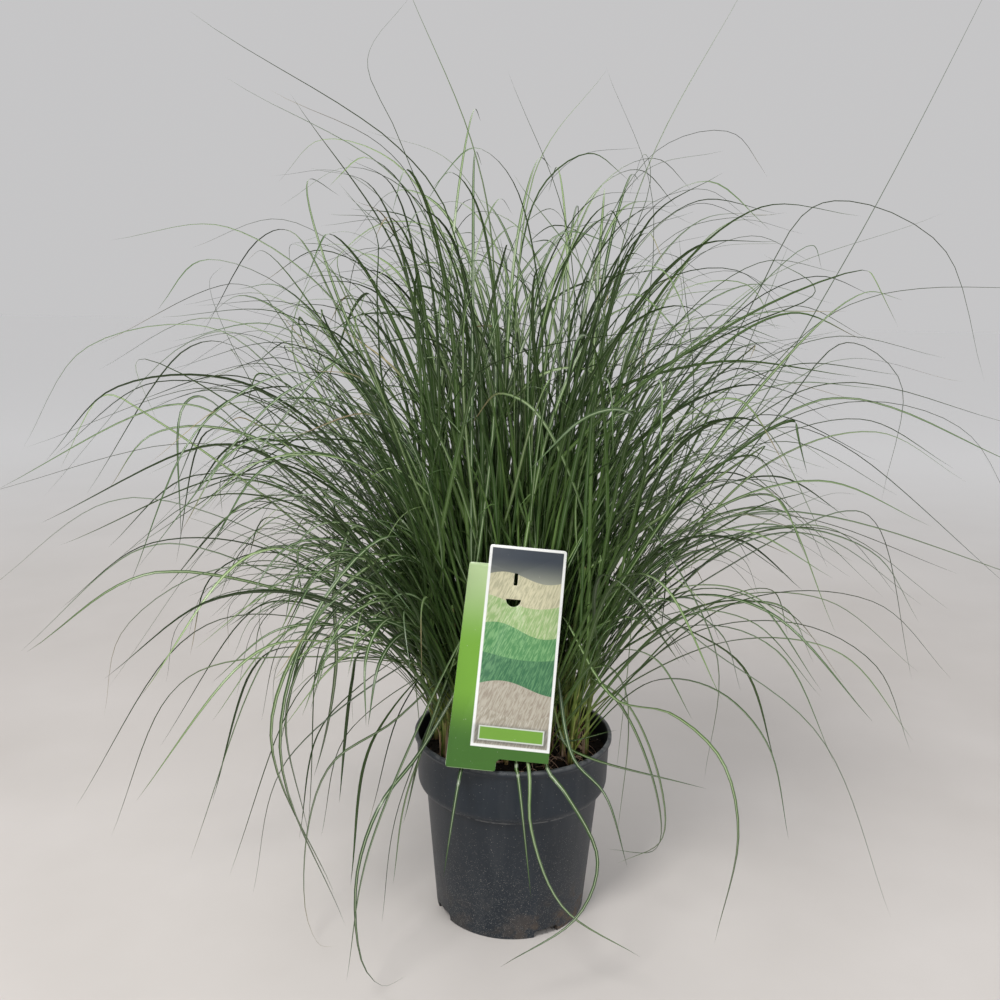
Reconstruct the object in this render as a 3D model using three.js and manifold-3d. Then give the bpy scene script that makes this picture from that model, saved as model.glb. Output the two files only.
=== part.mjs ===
// Maiden grass in a nursery container: the container, its soil, a clump of leafy stems and a plant label.
// Millimetres, +Z up. The origin is on the container's axis, at the level that it stands on.
// The front of the plant, where the label stands, faces -Y.
import * as THREE from 'three';
import { mergeVertices } from 'three/addons/utils/BufferGeometryUtils.js';
import Module from 'manifold-3d';

// Container
const POT_HEIGHT = 214;
const LIP_RADIUS = 113.75;
const BAND_TOP_RADIUS = 110.8;
const BAND_FOOT_RADIUS = 109.6;
const BAND_FOOT_HEIGHT = 160;
const SEAM_HEIGHT = 149;
const BODY_TOP_RADIUS = 100;
const FOOT_RADIUS = 86.8;
const WALL = 2;
const FLOOR_UNDERSIDE = 5;
const FLOOR_TOP = 7.5;
const FOOT_RING_WIDTH = 5;
const NOTCH_COUNT = 4;
const FIRST_NOTCH = 28;
const NOTCH_WIDTH = 30;
const NOTCH_HEIGHT = 8.5;
const NOTCH_DEPTH = 15;
const POT_SIDES = 36;

// Soil
const SOIL_TOP = 193;
const SOIL_UNEVENNESS = 2.2;
const SEAT_GAP = 0.3;
const PLANTING_DEPTH = 30;

// Clump
const TILLER_COUNT = 46;
const CLUMP_RADIUS = 86;
const STEM_SIDES = 5;
const STEM_FOOT_RADIUS = 3.0;
const STEM_TOP_RADIUS = 1.9;
const STEM_HEIGHTS = [110, 250];
const STEM_STOPS = [0, 0.2, 0.6, 1];
const STEM_LEAN = 10;
const FORWARD_LEAN = -0.15;
const LEAF_COUNT = 368;
const LEAF_RANKS = 9;
const TALL_RANKS = 3;

// Leaves
const LEAF_WIDTHS = [3.6, 5.6];
const ROOT_WIDTH = 1.4;
const NECK_WIDTH = 2.4;
const NECK_RISE = 12;
const NECK_REACH = 2.4;
const LEAF_THICKNESS = 0.95;
const TIP_THICKNESS = 0.7;
const LEAF_CLEARANCE = 0.45;
const PATH_STEPS = 28;
const POINTS_PER_STRETCH = 24;
const BEND_PER_SECTION = 44;
const MOST_SECTIONS = 6;
const TRIES_PER_LEAF = 260;
const FRONT_LEAF_WIDTH = 4;
const OUTLINE_LEAF_WIDTHS = [4, 5.2];
const SHAPED_LEAF_SHARES = [0.5, 0.7, 0.3, 0.85, 0.15, 0.6, 0.4, 0.2];
const FARTHEST_START = 60;
const CROWDING = 14;
const SPREAD_SIDEWAYS = 566;
const SPREAD_DEPTH = 430;
const LOWEST_LEAF = 7;
const LIP_CLEARANCE = 6;
const RISE_OVER_LIP = 4;
const RISE_OVER_SOIL = 5;
const NECK_SHARES = [0.08, 0.93];
const NECK_SCATTER = 0.12;
const SIDEWAYS_SWAY = 0.9;
const ROLL = 0.7;
const TWIST = 0.8;
const SHAPED_ROLL = 0.5;
const SHAPED_TWIST = 0.6;

// How a leaf grows: its lean from the vertical at its neck, and how far it bends over, in degrees. The
// outward values add to that at the edge of the clump, and the low ones at the foot of a stem. A stiffness
// over 1 keeps the bend for the leaf's outer part, and turn is how far it may point off its stem's side.
const TALL_LEAF = {
  lengths: [450, 670], lowLength: 1, lean: [0, 8], outwardLean: [-10, 4], lowLean: [0, 0],
  bend: [95, 165], outwardBend: 0, stiffness: [2.7, 4.5], inwardStiffness: 0, turn: 3.1,
};
const ARCHING_LEAF = {
  lengths: [430, 740], lowLength: 0.6, lean: [0, 9], outwardLean: [0, 11], lowLean: [6, 40],
  bend: [66, 114], outwardBend: 42, stiffness: [1.6, 2.7], inwardStiffness: 0.9, turn: 1.4,
};

// Label
const LABEL_THICKNESS = 1;
const LABEL_CORNER = new THREE.Vector3(-46.4, -109, 244.5);
const LABEL_LEAN_BACK = 20;
const LABEL_LEAN_RIGHT = 4.2;
const LABEL_TURN = -1.3;
const CARD = { left: -24, right: 83, tabRight: 28.5, tabFoot: -26, foot: -13, top: 211, stripTop: 190 };
const CARD_MARGIN = 3.5;
const CARD_SURROUND = 16;
const VIEW_SLOPE = 0.1;
const STAKE = { width: 14, x: -30, y: -86, foot: 125, point: 14 };
const STEMS_BESIDE_LABEL = { x: 62, y: -56 };

const wasm = await Module();
wasm.setup();

const degrees = THREE.MathUtils.degToRad;

// A solid for joining and cutting, from any closed geometry.
function toSolid(geometry) {
  const bare = geometry.clone();
  bare.deleteAttribute('normal');
  bare.deleteAttribute('uv');
  const merged = mergeVertices(bare, 1e-4);
  return new wasm.Manifold(new wasm.Mesh({
    numProp: 3,
    vertProperties: new Float32Array(merged.attributes.position.array),
    triVerts: new Uint32Array(merged.index.array),
  }));
}

function toGeometry(solid) {
  const mesh = solid.getMesh();
  const geometry = new THREE.BufferGeometry();
  geometry.setAttribute('position', new THREE.BufferAttribute(new Float32Array(mesh.vertProperties), 3));
  geometry.setIndex(new THREE.BufferAttribute(new Uint32Array(mesh.triVerts), 1));
  return geometry;
}

// The same numbers in the same order on every run.
function seededRandom(seed) {
  let state = seed;
  return () => {
    state = (state + 0x6d2b79f5) | 0;
    let mixed = Math.imul(state ^ (state >>> 15), 1 | state);
    mixed = (mixed + Math.imul(mixed ^ (mixed >>> 7), 61 | mixed)) ^ mixed;
    return ((mixed ^ (mixed >>> 14)) >>> 0) / 4294967296;
  };
}

const random = seededRandom(9001);
const between = (low, high) => low + (high - low) * random();
const aroundZero = (width) => width * (random() + random() + random() - 1.5) / 1.5;

// A profile of [radius, height] points turned about the container's axis.
function turned(profile, sides) {
  const points = profile.map(([radius, height]) => new THREE.Vector2(radius, height));
  const geometry = new THREE.LatheGeometry(points, sides);
  geometry.rotateX(Math.PI / 2);
  return geometry;
}

const bodyRadius = (height) => FOOT_RADIUS + (BODY_TOP_RADIUS - FOOT_RADIUS) * height / SEAM_HEIGHT;

// Container: one moulding. The body tapers down, the band steps out above the seam and the lip flares.
function makePot() {
  const outside = [
    [0, FLOOR_UNDERSIDE],
    [FOOT_RADIUS - FOOT_RING_WIDTH, FLOOR_UNDERSIDE],
    [FOOT_RADIUS - FOOT_RING_WIDTH + 1, 0],
    [FOOT_RADIUS, 0],
    [BODY_TOP_RADIUS, SEAM_HEIGHT],
    [BODY_TOP_RADIUS + 4.6, SEAM_HEIGHT + 2.4],
    [BODY_TOP_RADIUS + 8.2, SEAM_HEIGHT + 6],
    [BAND_FOOT_RADIUS, BAND_FOOT_HEIGHT],
    [BAND_TOP_RADIUS, POT_HEIGHT - 10],
    [LIP_RADIUS, POT_HEIGHT - 5],
    [LIP_RADIUS, POT_HEIGHT - 1.5],
    [LIP_RADIUS - 1.5, POT_HEIGHT],
  ];
  const inside = [
    [BAND_TOP_RADIUS - WALL + 0.6, POT_HEIGHT],
    [BAND_FOOT_RADIUS - WALL, BAND_FOOT_HEIGHT],
    [BODY_TOP_RADIUS - WALL, SEAM_HEIGHT],
    [bodyRadius(FLOOR_TOP) - WALL, FLOOR_TOP],
    [0, FLOOR_TOP],
  ];
  let pot = toSolid(turned([...outside, ...inside], POT_SIDES));
  for (let i = 0; i < NOTCH_COUNT; i++) {
    const notch = new THREE.BoxGeometry(NOTCH_DEPTH, NOTCH_WIDTH, 2 * NOTCH_HEIGHT);
    notch.translate(FOOT_RADIUS - NOTCH_DEPTH / 2 + 4, 0, 0);
    notch.rotateZ(degrees(FIRST_NOTCH + i * 360 / NOTCH_COUNT));
    pot = pot.subtract(toSolid(notch));
  }
  return toGeometry(pot);
}

// Stems: where each stands, which way it leans and how tall it is. The clump fills most of the container,
// leaves the label's place free, and leans back behind the label. A stem's lowest stretch is upright.
function placeTillers() {
  const tillers = [];
  const goldenAngle = Math.PI * (3 - Math.sqrt(5));
  for (let i = 0; tillers.length < TILLER_COUNT; i++) {
    const radius = CLUMP_RADIUS * Math.sqrt((i + 0.5) / (TILLER_COUNT + 3));
    const angle = i * goldenAngle;
    const x = radius * Math.cos(angle) + between(-2.5, 2.5);
    const y = radius * Math.sin(angle) + between(-2.5, 2.5);
    const underLabel = y < STEMS_BESIDE_LABEL.y && Math.abs(x) < STEMS_BESIDE_LABEL.x;
    const height = between(...STEM_HEIGHTS);
    const lean = degrees(STEM_LEAN * radius / CLUMP_RADIUS + aroundZero(4));
    const outward = Math.atan2(y, x);
    if (!underLabel) {
      tillers.push({ foot: new THREE.Vector3(x, y, SOIL_TOP), outward, lean, height, leaves: [] });
    }
  }
  for (const tiller of tillers) {
    const forward = tiller.foot.y < 0 ? FORWARD_LEAN : 1;
    tiller.axis = STEM_STOPS.map((share) => {
      const sideways = tiller.height * Math.max(0, share - STEM_STOPS[1]) * Math.sin(tiller.lean * share);
      const point = tiller.foot.clone();
      point.x += sideways * Math.cos(tiller.outward);
      point.y += sideways * Math.sin(tiller.outward) * forward;
      point.z += tiller.height * share;
      return point;
    });
  }
  return tillers;
}

// The point of a stem's middle line at a share of its height.
function stemPoint(tiller, share) {
  const below = Math.min(STEM_STOPS.findLastIndex((stop) => stop <= share), STEM_STOPS.length - 2);
  const part = (share - STEM_STOPS[below]) / (STEM_STOPS[below + 1] - STEM_STOPS[below]);
  return tiller.axis[below].clone().lerp(tiller.axis[below + 1], part);
}

const stemRadius = (share) => STEM_FOOT_RADIUS + (STEM_TOP_RADIUS - STEM_FOOT_RADIUS) * share;

// A closed solid through rings of points that all turn the same way.
function loft(rings, tip) {
  const sides = rings[0].length;
  const positions = rings.flat().flatMap((point) => [point.x, point.y, point.z]);
  const index = [];
  const at = (ring, side) => ring * sides + side % sides;
  const vertex = (i) => new THREE.Vector3().fromArray(positions, 3 * i);
  for (let ring = 0; ring + 1 < rings.length; ring++) {
    for (let side = 0; side < sides; side++) {
      const a = at(ring, side);
      const b = at(ring, side + 1);
      const c = at(ring + 1, side + 1);
      const d = at(ring + 1, side);
      // The quad is split along the diagonal that stands outwards, so that opposite faces never meet.
      const normal = vertex(b).sub(vertex(a)).cross(vertex(c).sub(vertex(a)));
      const outwards = normal.dot(vertex(d).sub(vertex(a))) <= 0;
      index.push(...(outwards ? [a, b, c, a, c, d] : [a, b, d, b, c, d]));
    }
  }
  for (let side = 1; side + 1 < sides; side++) {
    index.push(at(0, 0), at(0, side + 1), at(0, side));
  }
  const last = rings.length - 1;
  if (tip) {
    positions.push(tip.x, tip.y, tip.z);
    for (let side = 0; side < sides; side++) {
      index.push(at(last, side), at(last, side + 1), rings.length * sides);
    }
  } else {
    for (let side = 1; side + 1 < sides; side++) {
      index.push(at(last, 0), at(last, side), at(last, side + 1));
    }
  }
  const geometry = new THREE.BufferGeometry();
  geometry.setAttribute('position', new THREE.Float32BufferAttribute(positions, 3));
  geometry.setIndex(index);
  return geometry;
}

function ringAround(centre, radius) {
  return Array.from({ length: STEM_SIDES }, (_, side) => {
    const angle = side * 2 * Math.PI / STEM_SIDES;
    const [across, along] = [radius * Math.cos(angle), radius * Math.sin(angle)];
    return new THREE.Vector3(centre.x + across, centre.y + along, centre.z);
  });
}

function makeStem(tiller) {
  const buried = tiller.foot.clone();
  buried.z = SOIL_TOP - PLANTING_DEPTH;
  const rings = [ringAround(buried, STEM_FOOT_RADIUS)];
  for (const share of STEM_STOPS.slice(1)) {
    rings.push(ringAround(stemPoint(tiller, share), stemRadius(share)));
  }
  return loft(rings);
}

// Label: where a point lies on the card, across it (x), up it (z) and behind it (y).
const labelPlace = new THREE.Object3D();
labelPlace.position.copy(LABEL_CORNER);
labelPlace.rotation.set(-degrees(LABEL_LEAN_BACK), degrees(LABEL_LEAN_RIGHT), degrees(LABEL_TURN), 'ZXY');
labelPlace.updateMatrixWorld();
const ontoLabel = labelPlace.matrixWorld.clone().invert();

// The stake is upright. It ends inside the card's thickness, where the leaning card crosses it.
const stakeAtCorner = new THREE.Vector3(STAKE.x, STAKE.y, LABEL_CORNER.z).applyMatrix4(ontoLabel);
const halfThrough = LABEL_THICKNESS / 2 * Math.cos(degrees(LABEL_LEAN_BACK));
const stakeTop = LABEL_CORNER.z + (stakeAtCorner.y - halfThrough) / Math.sin(degrees(LABEL_LEAN_BACK));

// A leaf stays clear of the card. An ordinary one doesn't hang in front of it either.
function clearOfLabel(points, mayPassInFront) {
  let before = null;
  for (const point of points) {
    const local = point.clone().applyMatrix4(ontoLabel);
    const foot = local.x < CARD.tabRight + CARD_MARGIN ? CARD.tabFoot : CARD.foot;
    const overCard = local.x > CARD.left - CARD_MARGIN && local.x < CARD.right + CARD_MARGIN
      && local.z > foot - CARD_MARGIN && local.z < CARD.top + CARD_MARGIN;
    if (overCard && Math.abs(local.y) < CARD_MARGIN) return false;
    if (overCard && before !== null && before * local.y < 0) return false;
    const hidesCard = local.y < 0 && local.x > CARD.left - CARD_SURROUND
      && local.x < CARD.right + CARD_SURROUND && local.z > CARD.tabFoot - CARD_SURROUND
      && local.z < CARD.top + CARD_SURROUND + VIEW_SLOPE * -local.y;
    if (!mayPassInFront && hidesCard) return false;
    before = local.y;
  }
  return true;
}

// A leaf passes over the lip, not through it, stays above the soil and ends above the floor.
function clearOfPot(points) {
  return points.every((point) => {
    const radius = Math.hypot(point.x, point.y);
    const overPot = radius < LIP_RADIUS + LIP_CLEARANCE;
    const overLip = overPot && radius > BAND_TOP_RADIUS - WALL - LIP_CLEARANCE;
    const overSoil = overPot ? SOIL_TOP + RISE_OVER_SOIL : LOWEST_LEAF;
    const lowest = overLip ? POT_HEIGHT + RISE_OVER_LIP : overSoil;
    return point.z >= lowest;
  });
}

const withinSpread = (points) => points.every((point) => (
  Math.abs(point.x) < SPREAD_SIDEWAYS && Math.abs(point.y) < SPREAD_DEPTH
));

// Round limbs that stand for the stems and leaves placed so far, thick enough to hold them.
const limbs = [];

function gapBetween(p, q) {
  const ux = p.bx - p.ax;
  const uy = p.by - p.ay;
  const uz = p.bz - p.az;
  const vx = q.bx - q.ax;
  const vy = q.by - q.ay;
  const vz = q.bz - q.az;
  const wx = p.ax - q.ax;
  const wy = p.ay - q.ay;
  const wz = p.az - q.az;
  const uu = ux * ux + uy * uy + uz * uz;
  const uv = ux * vx + uy * vy + uz * vz;
  const vv = vx * vx + vy * vy + vz * vz;
  const uw = ux * wx + uy * wy + uz * wz;
  const vw = vx * wx + vy * wy + vz * wz;
  const clamp = (value) => Math.min(1, Math.max(0, value));
  const spread = uu * vv - uv * uv;
  let s = spread > 1e-9 * uu * vv ? clamp((uv * vw - vv * uw) / spread) : 0.5;
  const t = clamp((uv * s + vw) / vv);
  s = clamp((uv * t - uw) / uu);
  const distance = Math.hypot(wx + ux * s - vx * t, wy + uy * s - vy * t, wz + uz * s - vz * t);
  return distance - (p.ra + (p.rb - p.ra) * s) - (q.ra + (q.rb - q.ra) * t);
}

function makeLimb(a, b, ra, rb, owner, atRoot) {
  const reach = Math.max(ra, rb) + LEAF_CLEARANCE;
  return {
    ax: a.x, ay: a.y, az: a.z, bx: b.x, by: b.y, bz: b.z, ra, rb, owner, atRoot,
    lowX: Math.min(a.x, b.x) - reach, highX: Math.max(a.x, b.x) + reach,
    lowY: Math.min(a.y, b.y) - reach, highY: Math.max(a.y, b.y) + reach,
    lowZ: Math.min(a.z, b.z) - reach, highZ: Math.max(a.z, b.z) + reach,
  };
}

function clearOfPlant(newLimbs) {
  for (const limb of newLimbs) {
    for (const other of limbs) {
      const apart = limb.lowX > other.highX || limb.highX < other.lowX || limb.lowY > other.highY
        || limb.highY < other.lowY || limb.lowZ > other.highZ || limb.highZ < other.lowZ;
      const sharedRoot = limb.owner === other.owner && (limb.atRoot || other.atRoot);
      if (!apart && !sharedRoot && gapBetween(limb, other) < LEAF_CLEARANCE) return false;
    }
  }
  return true;
}

// A leaf's middle line: it rises at a lean from the vertical and bends over more and more towards its tip.
function archedPath(start, azimuth, lean, bend, length, stiffness, sway) {
  const path = [start.clone()];
  for (let i = 0; i < PATH_STEPS; i++) {
    const share = (i + 0.5) / PATH_STEPS;
    const tilt = lean + bend * share ** stiffness;
    const heading = azimuth + sway * share * share;
    const step = new THREE.Vector3(
      Math.sin(tilt) * Math.cos(heading),
      Math.sin(tilt) * Math.sin(heading),
      Math.cos(tilt),
    );
    path.push(path[i].clone().addScaledVector(step, length / PATH_STEPS));
  }
  return path;
}

// Where a leaf's cross-sections lie along it, as shares of its length. More bend takes more of them, and
// they lie closer together where it bends most.
function sectionShares(path) {
  const steps = path.length - 1;
  const turns = path.map((point, i) => {
    if (i === 0 || i === steps) return 0;
    return point.clone().sub(path[i - 1]).angleTo(path[i + 1].clone().sub(point));
  });
  const bend = turns.reduce((sum, turn) => sum + turn, 0);
  const parts = THREE.MathUtils.clamp(Math.ceil(bend / degrees(BEND_PER_SECTION)), 2, MOST_SECTIONS);
  const shares = [0];
  let reached = 0;
  turns.forEach((turn, i) => {
    reached += 0.4 / steps + 0.6 * turn / bend;
    if (shares.length < parts && reached >= shares.length / parts) shares.push(i / steps);
  });
  return [...shares, 1];
}

// The blade is narrow where it leaves the stem, widest near a third of its length, and ends in a fine tip.
function widthAt(share, widest) {
  const swell = THREE.MathUtils.smoothstep(share, -0.05, 0.2);
  const taper = 1 - THREE.MathUtils.smoothstep(share, 0.3, 1.3);
  return NECK_WIDTH + (widest - NECK_WIDTH) * Math.min(swell, taper);
}

// Where a leaf leaves its stem at a share of the stem's height. The root lies on the stem's middle line.
// The neck lies just outside one of the flat sides, or above the top.
function leafNeck(tiller, share, azimuth) {
  const root = stemPoint(tiller, share);
  if (share === 1) {
    const along = root.clone().sub(stemPoint(tiller, STEM_STOPS[2])).normalize();
    const neck = root.clone().addScaledVector(along, NECK_RISE);
    return { root: root.addScaledVector(along, -NECK_RISE), neck };
  }
  const facet = 2 * Math.PI / STEM_SIDES;
  const outward = (Math.floor(azimuth / facet) + 0.5) * facet;
  const neck = stemPoint(tiller, Math.min(1, share + NECK_RISE / tiller.height));
  neck.x += (stemRadius(share) + NECK_REACH) * Math.cos(outward);
  neck.y += (stemRadius(share) + NECK_REACH) * Math.sin(outward);
  return { root, neck };
}

// A leaf's cross-sections, from its root in the stem to its tip: where each lies, how wide it is, and which
// way it faces. The blade rolls and twists about its middle line.
function planLeaf(root, path, { widest, roll, twist }) {
  const curve = new THREE.CatmullRomCurve3(path, false, 'centripetal');
  const stations = sectionShares(path).map((share) => {
    const tangent = curve.getTangentAt(share);
    return { share, tangent, point: curve.getPointAt(share), width: widthAt(share, widest) };
  });
  const rootTangent = path[0].clone().sub(root).normalize();
  stations.unshift({ share: 0, tangent: rootTangent, point: root, width: ROOT_WIDTH });
  const chord = path[path.length - 1].clone().sub(path[0]);
  const across = new THREE.Vector3(-chord.y, chord.x, 0).normalize();
  for (const station of stations) {
    const side = across.clone().addScaledVector(station.tangent, -across.dot(station.tangent)).normalize();
    side.applyAxisAngle(station.tangent, roll + twist * station.share);
    station.side = side;
    station.upper = side.clone().cross(station.tangent).negate();
  }
  return stations;
}

function limbsOfLeaf(stations, owner) {
  const radius = (station) => (station.share === 1 ? 0.2 : station.width / 2 + 0.15);
  return stations.slice(1).map((station, i) => (
    makeLimb(stations[i].point, station.point, radius(stations[i]), radius(station), owner, i === 0)
  ));
}

// The blade: flat above, with the midrib standing out below, three points to a section.
function makeBlade(stations) {
  const rings = stations.slice(0, -1).map(({ point, side, upper, width, share }) => {
    const thickness = LEAF_THICKNESS + (TIP_THICKNESS - LEAF_THICKNESS) * share;
    return [
      point.clone().addScaledVector(side, width / 2).addScaledVector(upper, thickness / 3),
      point.clone().addScaledVector(side, -width / 2).addScaledVector(upper, thickness / 3),
      point.clone().addScaledVector(upper, -thickness * 2 / 3),
    ];
  });
  return loft(rings, stations[stations.length - 1].point);
}

const tillers = placeTillers();
const stakeFoot = new THREE.Vector3(STAKE.x, STAKE.y, STAKE.foot);
const stakeHead = stakeFoot.clone().setZ(stakeTop);
limbs.push(makeLimb(stakeFoot, stakeHead, STAKE.width / 2, STAKE.width / 2, null, false));
for (const [owner, tiller] of tillers.entries()) {
  for (let i = 0; i + 1 < STEM_STOPS.length; i++) {
    const [low, high] = [STEM_STOPS[i], STEM_STOPS[i + 1]];
    limbs.push(makeLimb(
      stemPoint(tiller, low), stemPoint(tiller, high), stemRadius(low), stemRadius(high), owner, false,
    ));
  }
}

// Points a few millimetres apart along the straight stretches between a leaf's cross-sections.
function pointsBetween(stations) {
  const stretches = stations.slice(1).map(({ point }, i) => (
    Array.from({ length: POINTS_PER_STRETCH }, (_, j) => (
      stations[i].point.clone().lerp(point, j / POINTS_PER_STRETCH)
    ))
  ));
  return [...stretches.flat(), stations[stations.length - 1].point];
}

// A leaf is kept where it touches nothing but its own stem.
function keepIfClear(tiller, owner, root, path, blade) {
  const stations = planLeaf(root, path, blade);
  const points = pointsBetween(stations);
  const leafLimbs = limbsOfLeaf(stations, owner);
  const clear = clearOfLabel(points, blade.mayPassInFront) && clearOfPot(points)
    && withinSpread(points) && clearOfPlant(leafLimbs);
  if (!clear) return false;
  limbs.push(...leafLimbs);
  tiller.leaves.push(stations);
  return true;
}

// Leaves that shape the outline at the sides and the top. Each lies in an upright plane through the
// container's axis, turned by azimuth from +X, and passes these points of [reach, height].
const OUTLINE_LEAVES = [
  { azimuth: 195, points: [[80, 780], [150, 865], [240, 925], [330, 960]] },
  { azimuth: 180, points: [[100, 780], [190, 835], [310, 920]] },
  { azimuth: 210, points: [[135, 720], [200, 815], [250, 880]] },
  { azimuth: 165, points: [[40, 795], [85, 855], [120, 940], [140, 1040]] },
  { azimuth: 198, points: [[90, 790], [150, 880], [165, 925], [130, 965], [120, 990]] },
  { azimuth: 172, points: [[130, 840], [200, 880], [275, 915]] },
  { azimuth: 195, points: [[300, 660], [410, 660], [480, 610], [500, 550]] },
  { azimuth: 170, points: [[310, 710], [410, 690], [500, 640]] },
  { azimuth: 210, points: [[300, 610], [400, 600], [490, 570]] },
  { azimuth: 193, points: [[290, 540], [400, 550], [565, 500]] },
  { azimuth: 188, points: [[290, 660], [430, 590], [500, 490]] },
  { azimuth: 165, points: [[360, 650], [520, 520], [560, 450]] },
  { azimuth: 155, points: [[300, 775], [380, 740], [440, 650]] },
  { azimuth: 195, points: [[410, 500], [480, 460], [545, 410]] },
  { azimuth: 200, points: [[370, 460], [440, 420], [510, 360]] },
  { azimuth: 193, points: [[320, 365], [430, 250], [480, 160]] },
  { azimuth: 185, points: [[350, 290], [430, 190], [460, 90]] },
  { azimuth: 200, points: [[190, 250], [270, 200], [300, 60]] },
  { azimuth: 225, points: [[170, 470], [260, 420], [310, 320], [290, 190], [240, 70]] },
  { azimuth: -30, points: [[140, 480], [200, 410], [240, 330], [230, 210]] },
  { azimuth: -35, points: [[80, 370], [140, 400], [210, 370], [330, 320], [400, 220], [430, 140]] },
  { azimuth: -50, points: [[160, 300], [240, 310], [300, 280], [320, 190], [300, 100]] },
  { azimuth: -50, points: [[90, 224], [180, 237], [280, 252]] },
  { azimuth: -25, points: [[120, 275], [180, 112], [120, 92]] },
  { azimuth: 5, points: [[110, 780], [135, 840], [170, 930], [235, 1045]] },
  { azimuth: -25, points: [[320, 740], [380, 830], [440, 1010]] },
  { azimuth: -15, points: [[300, 800], [350, 790], [440, 730], [460, 630]] },
  { azimuth: -10, points: [[180, 540], [185, 610], [180, 690], [160, 775]] },
  { azimuth: 10, points: [[200, 660], [330, 765], [480, 805]] },
  { azimuth: -5, points: [[330, 700], [400, 722], [565, 725]] },
  { azimuth: 15, points: [[350, 625], [430, 642], [500, 640], [565, 612]] },
  { azimuth: -15, points: [[280, 610], [340, 625], [410, 620], [500, 590]] },
  { azimuth: -15, points: [[170, 460], [270, 490], [350, 490], [410, 480], [560, 430]] },
  { azimuth: 0, points: [[280, 450], [360, 440], [430, 390], [460, 370]] },
  { azimuth: -10, points: [[360, 490], [410, 420], [430, 310]] },
  { azimuth: 0, points: [[290, 570], [400, 520], [480, 470], [560, 390]] },
  { azimuth: 20, points: [[10, 830], [40, 880], [90, 940]] },
  { azimuth: 180, points: [[-50, 750], [-20, 860], [20, 930]] },
  { azimuth: 0, points: [[135, 750], [130, 830], [80, 935]] },
];

// Leaves that fall over the lip at the front, by the points [x, y, height] that they pass.
const FRONT_LEAVES = [
  [[34, -112, 221], [42, -125, 217], [68, -150, 182], [86, -170, 142], [64, -190, 98], [-12, -205, 52]],
  [[14, -112, 222], [16, -125, 217], [21, -150, 152], [62, -180, 88], [130, -190, 55]],
  [[2, -112, 222], [4, -125, 216], [14, -146, 130], [20, -150, 90]],
  [
    [-95, -110, 240], [-132, -165, 208], [-156, -188, 130],
    [-146, -200, 44], [-120, -200, 23], [-104, -200, 38],
  ],
  [[-90, -112, 250], [-146, -195, 160], [-155, -205, 85], [-163, -212, 38]],
  [[60, -106, 232], [95, -135, 200], [118, -150, 130]],
  [[-54, -105, 219.5], [-57, -121, 212], [-64, -140, 165], [-72, -146, 110]],
];

// A shaping leaf grows from whichever stem near its way lets it through.
function placeShapedLeaf(points, widest) {
  const [first] = points;
  const startRadius = Math.min(Math.hypot(first.x, first.y), FARTHEST_START);
  const start = first.clone().setZ(0).setLength(startRadius);
  const distance = (tiller) => Math.hypot(tiller.foot.x - start.x, tiller.foot.y - start.y);
  const owners = [...tillers.keys()].sort((a, b) => (
    distance(tillers[a]) + CROWDING * tillers[a].leaves.length
    - distance(tillers[b]) - CROWDING * tillers[b].leaves.length
  ));
  for (const owner of owners) {
    const tiller = tillers[owner];
    const azimuth = Math.atan2(first.y - tiller.foot.y, first.x - tiller.foot.x);
    for (const share of SHAPED_LEAF_SHARES) {
      const { root, neck } = leafNeck(tiller, share, azimuth);
      const curve = new THREE.CatmullRomCurve3([neck, ...points], false, 'centripetal');
      const path = curve.getSpacedPoints(PATH_STEPS);
      const blade = {
        widest, roll: aroundZero(SHAPED_ROLL), twist: aroundZero(SHAPED_TWIST), mayPassInFront: true,
      };
      if (keepIfClear(tiller, owner, root, path, blade)) return;
    }
  }
}

for (const points of FRONT_LEAVES) {
  placeShapedLeaf(points.map((point) => new THREE.Vector3(...point)), FRONT_LEAF_WIDTH);
}
for (const { azimuth, points } of OUTLINE_LEAVES) {
  const turn = degrees(azimuth);
  const placed = points.map(([reach, height]) => (
    new THREE.Vector3(reach * Math.cos(turn), reach * Math.sin(turn), height)
  ));
  placeShapedLeaf(placed, between(...OUTLINE_LEAF_WIDTHS));
}

// The other leaves: drawn by rule from each stem in turn, and drawn again until they touch no other. The
// first ones of a stem stand tall. Each later one grows lower down.
function placeDrawnLeaf(tiller, owner, rank) {
  const habit = rank < TALL_RANKS ? TALL_LEAF : ARCHING_LEAF;
  const outwardness = Math.hypot(tiller.foot.x, tiller.foot.y) / CLUMP_RADIUS;
  const inwardness = Math.max(0, 1 - outwardness);
  for (let attempt = 0; attempt < TRIES_PER_LEAF; attempt++) {
    const loosening = 0.6 * attempt / TRIES_PER_LEAF;
    const scatter = between(-NECK_SCATTER, NECK_SCATTER);
    const lower = THREE.MathUtils.clamp(1 - rank / LEAF_RANKS + scatter, ...NECK_SHARES);
    const share = rank === 0 ? 1 : lower;
    const azimuth = tiller.outward + aroundZero(habit.turn + 1.2 * inwardness + loosening);
    const lean = degrees(between(...habit.lean)
      + outwardness * (between(...habit.outwardLean) + (1 - share) * between(...habit.lowLean)));
    const bend = degrees(between(...habit.bend) + habit.outwardBend * outwardness);
    const stiffness = between(...habit.stiffness) + habit.inwardStiffness * inwardness;
    const length = between(...habit.lengths) * THREE.MathUtils.lerp(habit.lowLength, 1, share);
    const { root, neck } = leafNeck(tiller, share, azimuth);
    const path = archedPath(neck, azimuth, lean, bend, length, stiffness, aroundZero(SIDEWAYS_SWAY));
    const blade = { widest: between(...LEAF_WIDTHS), roll: aroundZero(ROLL), twist: aroundZero(TWIST) };
    if (keepIfClear(tiller, owner, root, path, blade)) return;
  }
}

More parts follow.
